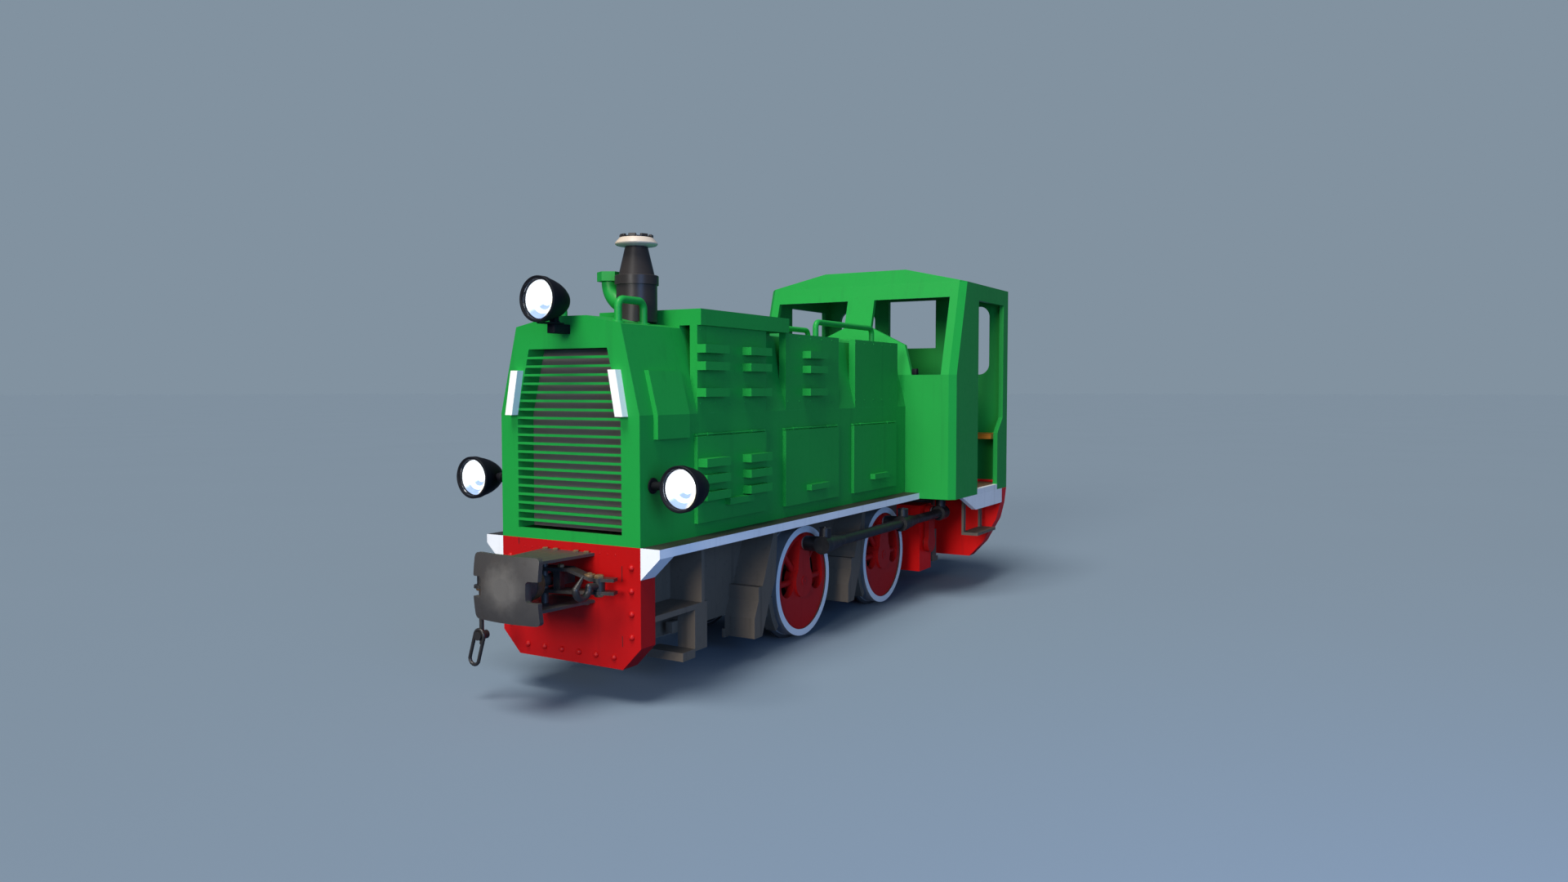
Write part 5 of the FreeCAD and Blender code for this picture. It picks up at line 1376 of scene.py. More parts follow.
@dataclass(frozen=True)
class Headlamps:
    """Three lathed lamps with dished optics and glass lenses."""

    radius: float = 0.127
    depth: float = 0.227
    rim: float = 0.04
    lip: float = 0.003
    lens_r: float = 0.112
    tail_r: float = 0.045
    # how far behind the rim the lens's groove ends and starts, and the hollow starts
    groove: Spot = (0.012, 0.002)
    hollow_edge: float = 0.03
    # (share of the lens's radius, distance behind the rim) of the hollow
    hollow: tuple[Spot, ...] = ((0.0, 0.14), (0.6, 0.11))
    # (share of the barrel's radius, distance behind the rim) of the tapering back
    taper: tuple[Spot, ...] = ((0.95, 0.058), (0.895, 0.092), (0.81, 0.128), (0.68, 0.165), (0.52, 0.198))
    # (share of the tail's radius, distance behind the rim) round the tail, and the share at its end
    tail: tuple[Spot, ...] = ((1.0, 0.216), (0.8, 0.223))
    tail_end: float = 0.5

    dish_steps: int = 5
    dish_gap: float = 0.002
    dish_back: float = 0.1
    dish_rise: float = 0.075
    # how far in and back each ring of the dish steps
    dish_step: Spot = (0.003, 0.004)
    # (inset from the lens's radius, distance behind the rim) of the dish's edge, and its back
    dish_edge: tuple[Spot, ...] = ((0.001, 0.022), (0.001, 0.026))
    dish_foot: float = 0.108
    bulb_r: float = 0.011
    bulb_front: float = 0.052
    bulb_bevel: float = 0.004

    lens_rise: float = 0.012
    lens_thick: float = 0.004
    lens_back: float = 0.016
    lens_steps: int = 6
    lens_inner: float = 0.97

    side_up: float = 0.333
    side_out: float = 0.765
    top_ahead: float = 0.24
    top_up: float = 1.357
    # (rear lower corner, front upper corner, bevel) of the top lamp's arm, plate and post
    mounts: tuple[tuple[Place, Place, float], ...] = (
        ((-0.002, -0.027, 1.176), (0.13, 0.027, 1.228), 0.003),
        ((0.07, -0.048, 1.227), (0.19, 0.048, 1.234), 0.002),
        ((0.082, -0.02, 1.23), (0.118, 0.02, 1.27), 0.002))
    mount_nut: Place = (0.1, 0.034, 1.234)
    mount_nut_size: Spot = (0.014, 0.007)
    # a side lamp's arm ends this far inside the lamp's middle; its flange and collar lie out from the hood
    arm_end: float = 0.06
    arm_r: float = 0.024
    flange_r: float = 0.045
    flange_w: float = 0.009
    collar_r: float = 0.03
    collar: Spot = (0.1, 0.13)
    sunk: float = 0.001

    def build(self, datum: Datum) -> None:
        """Make the top lamp and the two side lamps.

        Args:
            datum: The main places.
        """
        spots = {"top": datum.point(self.top_ahead, 0.0, self.top_up),
                 "left": datum.point(0.0, self.side_out, self.side_up),
                 "right": datum.point(0.0, -self.side_out, self.side_up)}
        for i, (name, spot) in enumerate(spots.items()):
            self.shell(spot).finish(f"lamp_shell_{name}", LAMP_BLACK, "frame", "black_paint",
                                    replaces=("headlamps",) if i == 0 else ())
            optic = LampWhite(f"lamp_optic_{name}", middle=tuple(spot), radius=self.lens_r)
            self.optic(spot).finish(f"lamp_optic_{name}", optic, "frame", "white_paint")
            self.lens(spot).finish(f"lamp_lens_{name}", LENS, "frame", "white_paint")
        self.bracket(datum).finish("lamp_bracket", LAMP_BLACK, "frame", "black_paint")
        self.arms(datum).finish("lamp_arms", LAMP_BLACK, "frame", "black_paint")

    def shell(self, spot: Vector) -> Shape:
        """Turn a rolled rim, barrel and tapering back, hollow in front.

        Args:
            spot: Middle of the rim's front.

        Returns:
            The shape.
        """
        r, rim, lip = self.radius, self.rim, self.lip
        profile = [(self.lens_r * share, -back) for share, back in self.hollow]
        profile.append((self.lens_r - 2 * lip, -self.hollow_edge))
        profile += [(self.lens_r, -back) for back in self.groove]
        profile += [(self.lens_r + lip, 0.0), (r - lip, 0.0), (r, -lip), (r, lip - rim), (r - lip, -rim),
                    (r - 2 * lip, -rim)]
        profile += [(r * share, -back) for share, back in self.taper]
        profile += [(self.tail_r * share, -back) for share, back in self.tail]
        profile += [(self.tail_r * self.tail_end, -self.depth), (0.0, -self.depth)]
        return Shape().lathe(profile, spot, X)

    def optic(self, spot: Vector) -> Shape:
        """Turn a dished reflector with stepped rings and put the bulb at its middle.

        Args:
            spot: Middle of the rim's front.

        Returns:
            The shape.
        """
        profile = [(0.0, -self.dish_back)]
        step_in, step_back = self.dish_step
        for i in range(1, self.dish_steps + 1):
            share = i / self.dish_steps
            radius = (self.lens_r - self.dish_gap) * share
            depth = -self.dish_back + self.dish_rise * share * share
            profile += [(radius - step_in, depth - step_back), (radius, depth)]
        profile += [(self.lens_r - inset, -back) for inset, back in self.dish_edge]
        shape = Shape().lathe(profile + [(0.0, -self.dish_foot)], spot, X)
        return shape.bar(spot - X * self.dish_back, spot - X * self.bulb_front, self.bulb_r, sides=16,
                         bevel=self.bulb_bevel)

    def lens(self, spot: Vector) -> Shape:
        """Turn a domed glass front of even thickness.

        Args:
            spot: Middle of the rim's front.

        Returns:
            The shape.
        """
        turns = [FULL_TURN / 4 * i / self.lens_steps for i in range(self.lens_steps + 1)]
        front = [(self.lens_r * math.sin(a), self.lens_rise * math.cos(a) - self.lens_back) for a in turns]
        back = [(radius * self.lens_inner, along - self.lens_thick) for radius, along in reversed(front)]
        return Shape().lathe(front + back, spot, X)

    def bracket(self, datum: Datum) -> Shape:
        """Make the arm, plate and post below the top lamp, with two nuts.

        Args:
            datum: The main places.

        Returns:
            The shape.
        """
        shape = Shape()
        for low, high, bevel in self.mounts:
            shape.block(datum.point(*low), datum.point(*high), bevel)
        ahead, out, up = self.mount_nut
        for side in SIDES:
            shape.nut(datum.point(ahead, side * out, up), Z, *self.mount_nut_size)
        return shape

    def arms(self, datum: Datum) -> Shape:
        """Make the stubs that carry the side lamps, each with a flange on the hood.

        Args:
            datum: The main places.

        Returns:
            The shape.
        """
        half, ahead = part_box("nose_panel")[1].y, -self.depth / 2
        shape = Shape()
        for side in SIDES:
            foot = datum.point(ahead, side * (half - self.sunk), self.side_up)
            tip = datum.point(ahead, side * (self.side_out - self.arm_end), self.side_up)
            start, end = (foot + Y * side * out for out in self.collar)
            shape.bar(foot, tip, self.arm_r, sides=20)
            shape.bar(foot, foot + Y * side * self.flange_w, self.flange_r, bevel=0.002)
            shape.bar(start, end, self.collar_r, sides=20, bevel=0.003)
        return shape


@dataclass(frozen=True)
class Exhaust:
    """Exhaust stack with its cream dish and notched crown."""

    back: float = 0.415
    out: float = 0.175
    drum_r: float = 0.12
    foot_up: float = 1.258
    # (how far over the drum's radius, up) round the collar
    collar: tuple[Spot, ...] = ((0.0, 1.474), (0.009, 1.476), (0.009, 1.528), (0.006, 1.531))
    # (radius, up) of the taper, the top ring and the bore
    taper: tuple[Spot, ...] = ((0.106, 1.531), (0.104, 1.54), (0.066, 1.702), (0.072, 1.716),
                               (0.072, 1.745), (0.062, 1.745), (0.062, 1.56), (0.0, 1.56))
    # (radius, up) round the flared dish with its rolled lip
    flare: tuple[Spot, ...] = ((0.067, 1.7), (0.118, 1.708), (0.124, 1.713), (0.125, 1.718), (0.122, 1.724),
                               (0.1, 1.75), (0.096, 1.75), (0.074, 1.75), (0.067, 1.748))
    # inner and outer radius, and lower and upper edge, of the crown's ring
    crown_r: Spot = (0.078, 0.098)
    crown_up: Spot = (1.747, 1.757)
    teeth: int = 8
    tooth_up: float = 1.762
    tooth_r: float = 0.088
    tooth: Place = (0.018, 0.044, 0.014)
    tooth_bevel: float = 0.002

    def build(self, datum: Datum) -> None:
        """Make the stack, its dish and its crown.

        Args:
            datum: The main places.
        """
        seat = datum.point(-self.back, self.out, 0.0)
        self.body(seat).finish("exhaust_body", STACK, "frame", "black_paint", replaces=("exhaust_stack",))
        self.dish(seat).finish("exhaust_dish", CREAM, "frame", "white_paint")
        self.crown(seat).finish("exhaust_crown", STACK, "frame", "black_paint")

    def body(self, seat: Vector) -> Shape:
        """Turn the drum, collar and taper with a bore.

        Args:
            seat: Middle of the stack at the deck's height.

        Returns:
            The shape.
        """
        profile = [(0.0, self.foot_up), (self.drum_r, self.foot_up)]
        profile += [(self.drum_r + over, up) for over, up in self.collar]
        return Shape().lathe(profile + list(self.taper), seat, Z, steps=40)

    def dish(self, seat: Vector) -> Shape:
        """Flared dish with a rolled lip."""
        return Shape().lathe(list(self.flare), seat, Z, closed=True)

    def crown(self, seat: Vector) -> Shape:
        """Make a ring of square teeth round the top.

        Args:
            seat: Middle of the stack at the deck's height.

        Returns:
            The shape.
        """
        (inner, outer), (low, high) = self.crown_r, self.crown_up
        shape = Shape().lathe([(inner, low), (outer, low), (outer, high), (inner, high)], seat, Z,
                              closed=True)
        for i in range(self.teeth):
            turn = Matrix.Rotation(FULL_TURN * (i + 0.5) / self.teeth, 4, "Z")
            place = (Matrix.Translation(seat + Z * self.tooth_up) @ turn
                     @ Matrix.Translation((self.tooth_r, 0.0, 0.0)))
            made = bmesh.ops.create_cube(shape.mesh, size=1.0,
                                         matrix=place @ Matrix.Diagonal((*self.tooth, 1.0)))
            shape.soften(made["verts"], self.tooth_bevel, 1)
        return shape


@dataclass(frozen=True)
class WheelFittings:
    """Turned axle ends of the wheelsets."""

    hub_stand: float = 0.005
    cap_r: float = 0.036
    cap_h: float = 0.004
    sunk: float = 0.002
    ease: float = 0.002
    # radius of the centre hole's edge and floor, and the floor's height
    hole_r: Spot = (0.01, 0.007)
    hole_up: float = 0.001

    def build(self, datum: Datum) -> None:
        """Dress both wheelsets.

        Args:
            datum: The main places.
        """
        for end, _ in ENDS:
            axle = datum.joint(f"{end}_axle_spin")
            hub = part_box(f"{end}_tyres")[1].y + self.hub_stand
            self.hubs(axle, hub).finish(f"{end}_axle_caps", RED, f"{end}_wheelset", "red_paint")

    def hubs(self, axle: Vector, hub: float) -> Shape:
        """Turn a low step with a centre hole on each hub.

        Args:
            axle: Middle of the axle.
            hub: How far out the hub's face is.

        Returns:
            The shape.
        """
        edge_r, floor_r = self.hole_r
        profile = [(0.0, -self.sunk), (self.cap_r, -self.sunk), (self.cap_r, self.cap_h - self.ease),
                   (self.cap_r - self.ease, self.cap_h), (edge_r, self.cap_h), (floor_r, self.hole_up),
                   (0.0, self.hole_up)]
        shape = Shape()
        for side in SIDES:
            shape.lathe(profile, Vector((axle.x, side * hub, axle.z)), Y * side, steps=32)
        return shape


@dataclass(frozen=True)
class RodFittings:
    """Lids of the coupling rods' oil cups."""

    cup_r: float = 0.042
    lid_h: float = 0.006
    lid_over: float = 0.002
    neck_under: float = 0.001
    sunk: float = 0.002
    ease: float = 0.002
    # radius at the foot and top of the lid's knob, and its height
    knob_r: Spot = (0.014, 0.012)
    knob_h: float = 0.006

    def build(self, datum: Datum) -> None:
        """Dress both rods.

        Args:
            datum: The main places.
        """
        axles = [datum.joint(name).x for name in ("front_axle_spin", "rear_axle_spin", "jackshaft_spin")]
        crank = datum.joint("rod_left_turn").z - datum.joint("front_axle_spin").z
        for name, side in HANDS:
            pin = datum.joint(f"rod_{name}_turn")
            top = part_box(f"coupling_rod_{name}")[1].z
            shape = Shape()
            for along in axles:
                lid = Vector((along if side > 0 else along + crank, pin.y, top))
                shape.lathe(self.lid(), lid, Z, steps=28)
            shape.finish(f"rod_lids_{name}", ROD_STEEL, f"rod_{name}", "dark_steel")

    def lid(self) -> list[Spot]:
        """Outline of one lid: neck, plate and knob.

        Returns:
            The (radius, height) of each corner.
        """
        edge, (foot_r, top_r) = self.cup_r + self.lid_over, self.knob_r
        neck, knob_top = self.cup_r - self.neck_under, self.lid_h + self.knob_h
        return [(0.0, -self.sunk), (neck, -self.sunk), (edge, 0.0), (edge, self.lid_h - self.ease),
                (self.cup_r - self.ease, self.lid_h), (foot_r, self.lid_h), (top_r, knob_top),
                (0.0, knob_top)]


@dataclass(frozen=True)
class CouplerFittings:
    """Bolts, volute spring and nuts of the two couplers."""

    plate_ahead: float = 0.028
    plate_out: tuple[float, ...] = (-0.152, -0.076, 0.076, 0.152)
    plate_up: Spot = (-0.05, -0.33)
    # each bolt's and nut's size is its width across flats and its height
    plate_bolt: Spot = (0.03, 0.012)

    spring_from: float = 0.288
    spring_up: float = -0.19
    spring_r: float = 0.076
    spring_pitch: float = 0.011
    spring_turns: int = 6
    spring_swell: float = 0.0017
    # (radius, distance along) round the first rib
    rib: tuple[Spot, ...] = ((0.081, 0.0), (0.087, 0.002), (0.087, 0.008), (0.082, 0.0095))

    # ahead and out from the pivot to the end of the lever's left arm
    arm: Spot = (-0.11, 0.41)
    # shares of the arm at which the two pins stand, and the heights of their upper and lower nuts
    pins: Spot = (0.77, -0.93)
    pin_up: Spot = (-0.16, -0.25)
    pin_nut: Spot = (0.05, 0.016)
    # (share of the arm, up) of the lever's plate top, at the spacer's bolt and at the washer
    spacer_bolt: Spot = (0.235, -0.11)
    spacer_nut: Spot = (0.034, 0.016)
    washer: Spot = (0.64, -0.155)
    washer_r: float = 0.03
    # how far the washer goes below and above its seat
    washer_h: Spot = (0.006, 0.012)
    washer_nut: Spot = (0.026, 0.008)

    def build(self, datum: Datum) -> None:
        """Dress the front coupler, then the rear one turned half round.

        Args:
            datum: The main places.
        """
        for end, way in ENDS:
            self.bolts(datum, way).finish(f"{end}_coupler_bolts", BRONZE, "frame", "dark_steel")
            self.spring(datum, way).finish(f"{end}_coupler_spring", SPRING, "frame", "dark_steel")
            self.lever_bolts(datum, way).finish(f"{end}_lever_bolts", BRONZE, f"{end}_lever", "dark_steel")

    @staticmethod
    def spot(datum: Datum, way: int, ahead: float, out: float, up: float) -> Vector:
        """Point of the front coupler, or the same point of the rear one."""
        front = datum.point(ahead, out, up)
        return Vector((front.x * way, front.y * way, front.z))

    def on_arm(self, datum: Datum, way: int, share: float, up: float) -> Vector:
        """Point over the lever's centre line, at a share of its arm from the pivot."""
        ahead = datum.joint("front_lever_swing").x + share * self.arm[0]
        return Vector((ahead * way, share * self.arm[1] * way, datum.deck + up))

    def bolts(self, datum: Datum, way: int) -> Shape:
        """Make the bolt heads over and under the draft plates where they meet the beam.

        Args:
            datum: The main places.
            way: 1 for the front coupler and -1 for the rear one.

        Returns:
            The shape.
        """
        shape = Shape()
        for out in self.plate_out:
            for up, face in zip(self.plate_up, SIDES):
                shape.nut(self.spot(datum, way, self.plate_ahead, out, up), Z * face, *self.plate_bolt)
        return shape

    def spring(self, datum: Datum, way: int) -> Shape:
        """Turn the ribbed volute spring over the rear of the shank's cone.

        Args:
            datum: The main places.
            way: 1 for the front coupler and -1 for the rear one.

        Returns:
            The shape.
        """
        ribs = [(radius + i * self.spring_swell, i * self.spring_pitch + along)
                for i in range(self.spring_turns) for radius, along in self.rib]
        profile = [(self.spring_r, 0.0), *ribs, (self.spring_r, self.spring_turns * self.spring_pitch)]
        start = self.spot(datum, way, self.spring_from, 0.0, self.spring_up)
        return Shape().lathe(profile, start, X * way, steps=40, closed=True)

    def lever_bolts(self, datum: Datum, way: int) -> Shape:
        """Make the nuts on the lever's pins, the spacers' bolts and a washer on each knee.

        Args:
            datum: The main places.
            way: 1 for the front coupler and -1 for the rear one.

        Returns:
            The shape.
        """
        shape = Shape()
        for share in self.pins:
            for face, up in zip(SIDES, self.pin_up):
                shape.nut(self.on_arm(datum, way, share, up), Z * face, *self.pin_nut)
        (bolt_share, bolt_up), (washer_share, washer_up) = self.spacer_bolt, self.washer
        below, above = self.washer_h
        for side in SIDES:
            shape.nut(self.on_arm(datum, way, side * bolt_share, bolt_up), Z, *self.spacer_nut)
            seat = self.on_arm(datum, way, side * washer_share, washer_up)
            shape.bar(seat - Z * below, seat + Z * above, self.washer_r, bevel=0.002)
            shape.nut(seat + Z * above, Z, *self.washer_nut)
        return shape


@dataclass(frozen=True)
class HoodFittings:
    """Small fixings on the hood: rail feet and panel screws."""

    rails: tuple[float, ...] = (-0.085, -0.315, -2.41, -3.39)
    rail_out: float = 0.3
    rail_up: float = 1.236
    # out and up along a rail's leg
    lean: Spot = (0.19, 0.98)
    foot_r: float = 0.036
    foot_h: float = 0.014
    screw_r: float = 0.006
    screw_h: float = 0.003
    screw_sides: int = 8
    screws: int = 5
    # how far the screws stand inside each flap's ends, below the panels' top and above their foot
    screw_end: float = 0.07
    screw_top: float = 0.025
    screw_foot: float = 0.06

    def build(self, datum: Datum) -> None:
        """Make the fixings."""
        self.rail_feet(datum).finish("rail_feet", GREEN, "frame", "green_paint")
        self.panel_screws().finish("panel_screws", GREEN, "frame", "green_paint")

    def rail_feet(self, datum: Datum) -> Shape:
        """Make a round foot under each leg of the hand rails.

        Args:
            datum: The main places.

        Returns:
            The shape.
        """
        lean_out, lean_up = self.lean
        shape = Shape()
        for ahead in self.rails:
            for side in SIDES:
                foot = datum.point(ahead, side * self.rail_out, self.rail_up)
                leg = Vector((0.0, side * lean_out, lean_up))
                shape.bar(foot, foot + leg * self.foot_h, self.foot_r, bevel=0.003)
        return shape

    def panel_screws(self) -> Shape:
        """Make the screw heads along the upper and lower edges of the stand-off panels.

        Returns:
            The shape.
        """
        low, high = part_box("upper_panels_left")
        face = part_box("nose_panel")[1].y
        heights = (high.z - self.screw_top, low.z + self.screw_foot)
        shape = Shape()
        for i in FLAPS:
            door_low, door_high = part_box(f"hood_door_left_{i}")
            front, rear = door_high.x - self.screw_end, door_low.x + self.screw_end
            for step in range(self.screws):
                along = front + (rear - front) * step / (self.screws - 1)
                for height in heights:
                    for side in SIDES:
                        shape.dome((along, side * face, height), Y * side, self.screw_r, self.screw_h,
                                   self.screw_sides)
        return shape


@dataclass(frozen=True)
class CabFittings:
    """Gauges, brake wheel and lever at the desk, the wiper motor and the rear wall's skirting."""

    dial_r: float = 0.05
    dial_out: tuple[float, ...] = (-0.22, -0.08, 0.08, 0.22)
    dial_drop: float = 0.1
    dial_h: float = 0.006
    dial_inset: float = 0.004
    # how far the rims, the ticks and the pointers stand off the desk
    rim_off: float = 0.006
    tick_off: float = 0.007
    pointer_off: float = 0.008
    rim_thick: float = 0.006
    ticks: int = 9
    # first tick and sweep of the scale, and the first pointer and the step to the next, in degrees
    scale: Spot = (-40, 260)
    pointers: Spot = (60, 40)
    tick_reach: Spot = (0.034, 0.042)
    tick_r: float = 0.0015
    pointer_reach: Spot = (-0.008, 0.032)
    pointer_r: Spot = (0.002, 0.0008)

    # behind the desk's face, left of the centre line and above the desk
    wheel: Place = (0.16, 0.52, 0.02)
    wheel_r: float = 0.16
    wheel_thick: float = 0.012
    column_h: float = 0.9
    column_r: float = 0.02
    spokes: int = 4
    spoke_turn: float = 0.4
    spoke_reach: float = 0.158
    spoke_r: float = 0.009
    hub_r: float = 0.03
    hub_h: float = 0.02
    throttle: Spot = (0.12, -0.12)
    throttle_lean: Place = (-0.05, 0.0, 0.16)
    throttle_r: float = 0.009
    knob_r: float = 0.02

    wall: float = 0.05
    skirting_t: float = 0.006
    skirting_h: float = 0.022
    skirting_inset: float = 0.01
    sunk: float = 0.001
    # the wiper motor's place behind the cab's front, out and up, and its size
    motor: Place = (0.05, 0.563, 0.986)
    motor_size: Place = (0.045, 0.044, 0.052)

    def build(self, datum: Datum) -> None:
        """Make the controls, the wiper motor and the skirting.

        Args:
            datum: The main places.
        """
        low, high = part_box("control_desk")
        face, top = low.x, high.z
        self.dials(face, top).finish("desk_gauges", WHITE, "frame", "white_paint")
        self.bezels(face, top).finish("desk_bezels", LAMP_BLACK, "frame", "black_paint")
        self.brake_wheel(face, top).finish("brake_wheel", LAMP_BLACK, "frame", "black_paint")
        self.wiper_motor(datum).finish("wiper_motor", LAMP_BLACK, "frame", "black_paint")
        self.skirting(datum).finish("cab_skirting", SHADE_LIFT_RED, "frame", "red_paint")

    def dials(self, face: float, top: float) -> Shape:
        """Make the white gauge faces.

        Args:
            face: Where the desk's rear face is.
            top: Height of the desk's top.

        Returns:
            The shape.
        """
        shape = Shape()
        for out in self.dial_out:
            seat = Vector((face, out, top - self.dial_drop))
            shape.bar(seat, seat - X * self.dial_h, self.dial_r - self.dial_inset, sides=28)
        return shape

    def bezels(self, face: float, top: float) -> Shape:
        """Make the black rim, pointer and tick marks of each gauge.

        Args:
            face: Where the desk's rear face is.
            top: Height of the desk's top.

        Returns:
            The shape.
        """
        shape = Shape()
        first, sweep = self.scale
        for n, out in enumerate(self.dial_out):
            seat = Vector((face, out, top - self.dial_drop))
            shape.ring(seat - X * self.rim_off, X, self.dial_r, self.rim_thick, steps=28, sides=8)
            for i in range(self.ticks):
                way = self.way_round(first + sweep * i / (self.ticks - 1))
                start, end = (seat - X * self.tick_off + way * reach for reach in self.tick_reach)
                shape.bar(start, end, self.tick_r, sides=6)
            way = self.way_round(self.pointers[0] + self.pointers[1] * n)
            start, end = (seat - X * self.pointer_off + way * reach for reach in self.pointer_reach)
            shape.bar(start, end, *self.pointer_r, sides=6)
        return shape

    @staticmethod
    def way_round(degrees: float) -> Vector:
        """Direction on a gauge's face at an angle from the left."""
        turn = math.radians(degrees)
        return Vector((0.0, math.cos(turn), math.sin(turn)))

    def brake_wheel(self, face: float, top: float) -> Shape:
        """Make the hand wheel on a column beside the desk, and a throttle lever on the desk's top.

        Args:
            face: Where the desk's rear face is.
            top: Height of the desk's top.

        Returns:
            The shape.
        """
        behind, out, up = self.wheel
        centre = Vector((face - behind, out, top + up))
        shape = Shape().ring(centre, Z, self.wheel_r, self.wheel_thick)
        shape.bar((centre.x, centre.y, top - self.column_h), centre + Z * self.hub_h / 2, self.column_r,
                  sides=20)
        for i in range(self.spokes):
            turn = FULL_TURN * i / self.spokes + self.spoke_turn
            way = Vector((math.cos(turn), math.sin(turn), 0.0))
            shape.bar(centre, centre + way * self.spoke_reach, self.spoke_r, sides=10)
        shape.bar(centre - Z * self.hub_h, centre + Z * self.hub_h, self.hub_r, sides=20, bevel=0.004)
        ahead, out = self.throttle
        foot = Vector((face + ahead, out, top))
        tip = foot + Vector(self.throttle_lean)
        shape.bar(foot, tip, self.throttle_r, sides=12)
        return shape.dome(tip, Z, self.knob_r, self.knob_r)

    def skirting(self, datum: Datum) -> Shape:
        """Make the red strip along the foot of the rear wall, inside.

        Args:
            datum: The main places.

        Returns:
            The shape.
        """
        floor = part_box("cab_floor")[1]
        wall, half = datum.cab_rear + self.wall, floor.y - self.skirting_inset
        return Shape().block((wall - self.sunk, -half, floor.z - self.sunk),
                             (wall + self.skirting_t, half, floor.z + self.skirting_h), self.sunk)

    def wiper_motor(self, datum: Datum) -> Shape:
        """Make the small housing on the left windscreen's sill.

        Args:
            datum: The main places.

        Returns:
            The shape.
        """
        behind, out, up = self.motor
        low = Vector((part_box("cab_front")[1].x - behind, out, datum.deck + up))
        return Shape().block(low, low + Vector(self.motor_size), 0.004)


@dataclass(frozen=True)
class UnderframeFittings:
    """Rail guards, step brackets and bolts under the running boards."""

    # (nearest, farthest) ahead of the axle, out and up from the rail of a rail guard
    guard: tuple[Spot, Spot, Spot] = ((0.67, 0.736), (0.256, 0.2803), (0.136, 0.195))
    # the same for a front step's bracket, from the nose, the centre line and the deck
    bracket: tuple[Spot, Spot, Spot] = ((-0.534, -0.461), (0.337, 0.386), (-0.579, -0.51))
    bevel: float = 0.003
    # a brake hanger's pin ahead of the axle, out and above it
    pin: Place = (0.5, 0.43, -0.02)
    pin_r: float = 0.022
    pin_h: float = 0.012
    pin_nut: Spot = (0.026, 0.01)
    # how far a keeper bolt stands ahead of or behind the axle, and inside the box's outer face
    keeper_ahead: float = 0.07
    keeper_inset: float = 0.03
    keeper_nut: Spot = (0.03, 0.018)

    def build(self, datum: Datum) -> None:
        """Dress both sides of both axles and the front steps.

        Args:
            datum: The main places.
        """
        for end, _ in ENDS:
            axle = datum.joint(f"{end}_axle_spin")
            self.guards(axle).finish(f"{end}_rail_guards", BLACK, "frame", "black_paint")
            self.brake_bolts(axle).finish(f"{end}_brake_bolts", FORGED, "frame", "dark_steel")
            self.box_bolts(axle).finish(f"{end}_axlebox_bolts", FORGED, "frame", "black_paint")
        self.step_brackets(datum).finish("step_brackets", BLACK, "frame", "black_paint")

    def plates(self, start: Vector, extent: tuple[Spot, Spot, Spot]) -> Shape:
        """Make a small plate and its mirror image.

        Args:
            start: Point on the centre line that the plates are measured from.
            extent: The nearest and farthest place ahead, out and up.

        Returns:
            The shape.
        """
        (near, far), (inner, outer), (low, high) = extent
        shape = Shape()
        for side in SIDES:
            shape.block((start.x + near, side * inner, start.z + low),
                        (start.x + far, side * outer, start.z + high), self.bevel)
        return shape

    def guards(self, axle: Vector) -> Shape:
        """Plate at the inner face of each sand box, just above the rail."""
        return self.plates(X * axle.x, self.guard)

    def step_brackets(self, datum: Datum) -> Shape:
        """Small bracket on the inner side of each front step's hanger."""
        return self.plates(datum.point(0.0, 0.0, 0.0), self.bracket)

    def brake_bolts(self, axle: Vector) -> Shape:
        """Make the pin head on each brake hanger.

        Args:
            axle: Middle of the axle.

        Returns:
            The shape.
        """
        ahead, out, up = self.pin
        shape = Shape()
        for side in SIDES:
            seat = Vector((axle.x + ahead, side * out, axle.z + up))
            top = seat + Y * side * self.pin_h
            shape.bar(seat, top, self.pin_r, sides=18, bevel=0.002).nut(top, Y * side, *self.pin_nut)
        return shape

    def box_bolts(self, axle: Vector) -> Shape:
        """Make the keeper bolts under each axle box.

        Args:
            axle: Middle of the axle.

        Returns:
            The shape.
        """
        low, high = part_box("axleboxes")
        shape = Shape()
        for side in SIDES:
            for way in SIDES:
                seat = (axle.x + way * self.keeper_ahead, side * (high.y - self.keeper_inset), low.z)
                shape.nut(seat, -Z, *self.keeper_nut)
        return shape


# ---------------------------------------------------------------- studio
class LampKind(Enum):
    """Kinds of studio light: even over the whole vehicle, or fading with distance."""

    EVEN = "SUN"
    NEAR = "AREA"


@dataclass(frozen=True)
class Lamp:
    """One soft studio light; its spread is in degrees where it is even and in metres where it is near."""

    name: str
    kind: LampKind
    place: Place
    strength: float
    spread: float
    colour: Colour


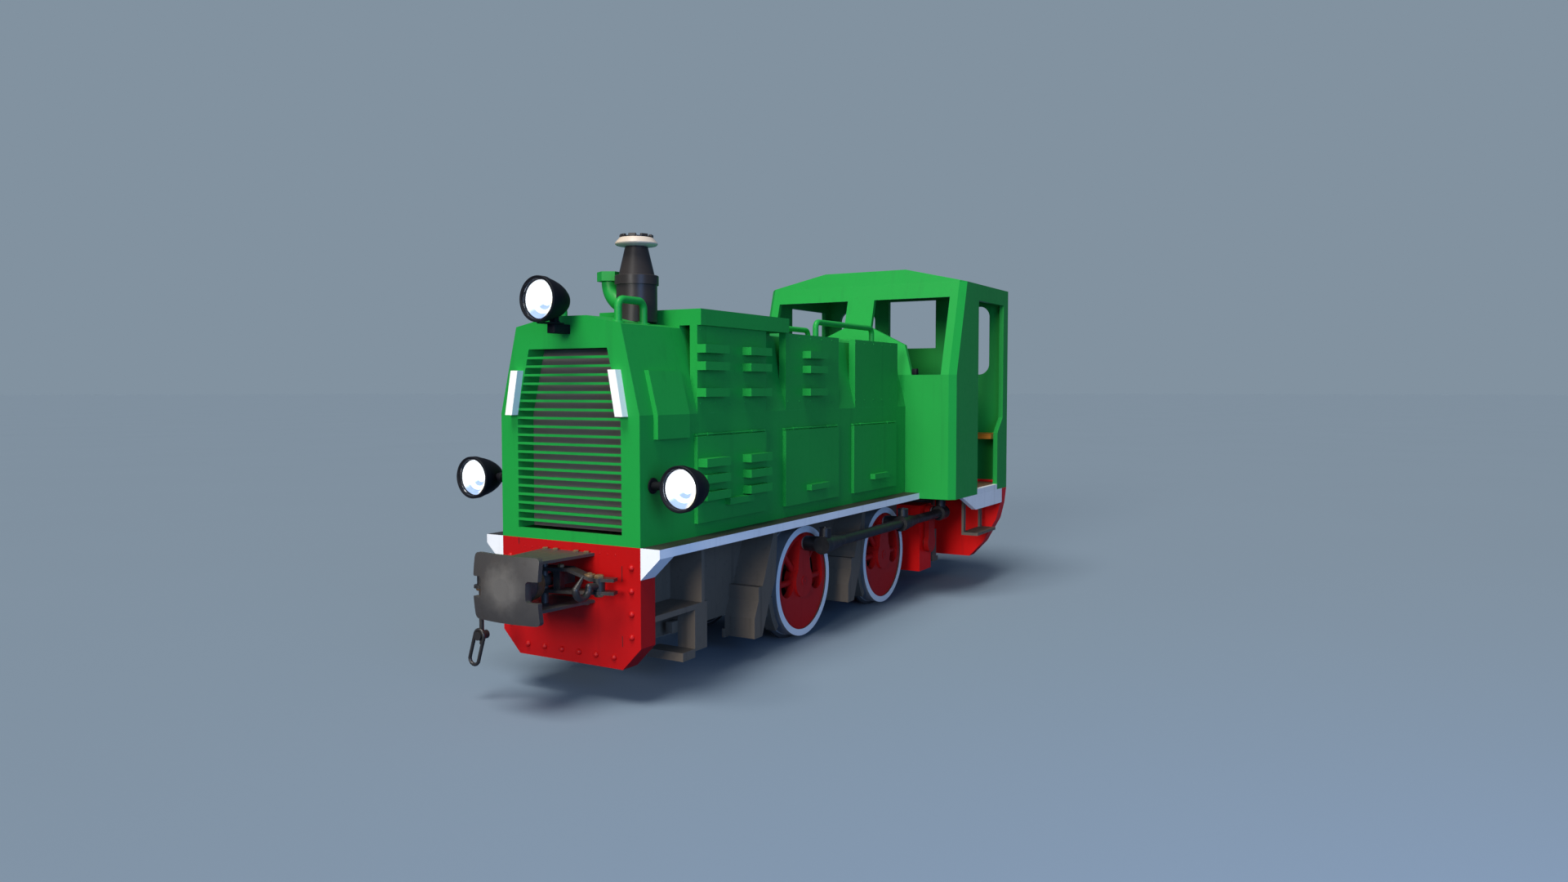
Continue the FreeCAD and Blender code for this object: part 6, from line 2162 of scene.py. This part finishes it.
@dataclass(frozen=True)
class Studio:
    """Pale floor, soft lights and the camera."""

    camera: Place = (7.028, 4.018, 1.766)
    yaw: float = 29.89
    pitch: float = 2.8165
    lens: float = 24.08
    sensor: float = 36.0
    reach: float = 1000.0
    floor_r: float = 400.0
    floor_sides: int = 64
    sky: Colour = (0.085, 0.12, 0.18)
    backing: Colour = (0.223, 0.287, 0.352)
    target: Place = (0.3, 0.0, 1.2)
    lamps: tuple[Lamp, ...] = (
        Lamp("overhead", LampKind.EVEN, (3.5, 0.0, 8.5), 3.3, 30.0, (1.0, 0.98, 0.94)),
        Lamp("key", LampKind.EVEN, (11.0, 1.2, 4.0), 1.75, 20.0, (1.0, 0.98, 0.94)),
        Lamp("fill", LampKind.NEAR, (6.2, 7.2, 2.4), 235.0, 4.0, (0.3, 0.6, 1.3)),
    )

    def build(self) -> None:
        """Set up floor, light and camera."""
        self.backdrop()
        self.world()
        for lamp in self.lamps:
            self.light(lamp)
        self.shoot()
        bpy.context.scene.view_settings.view_transform = "Standard"

    @staticmethod
    def stand(thing: bpy.types.Object, place: Place, aim: Vector) -> None:
        """Put a light or the camera in the scene.

        Args:
            thing: The light or camera.
            place: Where it stands.
            aim: Direction that it looks in.
        """
        thing.location = place
        thing.rotation_euler = aim.to_track_quat("-Z", "Y").to_euler()
        bpy.context.scene.collection.objects.link(thing)

    def backdrop(self) -> None:
        """Floor that reaches past the view."""
        shape = Shape()
        bmesh.ops.create_circle(shape.mesh, cap_ends=True, segments=self.floor_sides, radius=self.floor_r)
        shape.finish("studio_floor", STUDIO, "", "")

    def world(self) -> None:
        """Even pale light from all round, and the plain backing that the camera sees."""
        world = bpy.data.worlds.new("studio")
        world.use_nodes = True
        wiring = Wiring(world.node_tree)
        seen = wiring.add("ShaderNodeLightPath").outputs["Is Camera Ray"]
        tone = wiring.mix(seen, self.sky, self.backing)
        wiring.feed(world.node_tree.nodes["Background"].inputs["Color"], tone)
        bpy.context.scene.world = world

    def light(self, lamp: Lamp) -> None:
        """Add one soft light, aimed at the locomotive.

        Args:
            lamp: The light.
        """
        data = bpy.data.lights.new(lamp.name, lamp.kind.value)
        data.energy = lamp.strength
        data.color = lamp.colour
        if lamp.kind is LampKind.EVEN:
            data.angle = math.radians(lamp.spread)
        else:
            data.shape = "DISK"
            data.size = lamp.spread
        light = bpy.data.objects.new(lamp.name, data)
        self.stand(light, lamp.place, Vector(self.target) - Vector(lamp.place))

    def shoot(self) -> None:
        """Add the camera."""
        data = bpy.data.cameras.new("camera")
        data.lens = self.lens
        data.sensor_width = self.sensor
        data.clip_end = self.reach
        yaw, pitch = math.radians(self.yaw), math.radians(self.pitch)
        aim = -Vector((math.cos(yaw) * math.cos(pitch), math.sin(yaw) * math.cos(pitch), math.sin(pitch)))
        camera = bpy.data.objects.new("camera", data)
        self.stand(camera, self.camera, aim)
        bpy.context.scene.camera = camera


def main() -> None:
    """Build every sub-assembly in order."""
    logging.basicConfig(level=logging.INFO, format="%(name)s: %(message)s")
    datum = Datum.read()
    Studio().build()
    for part in (FrameDressing(), BeamFittings(), Headlamps(), Exhaust(), WheelFittings(), RodFittings(),
                 CouplerFittings(), HoodFittings(), CabFittings(), UnderframeFittings()):
        LOG.info("building %s", type(part).__name__)
        part.build(datum)


if __name__ == "__main__":
    main()
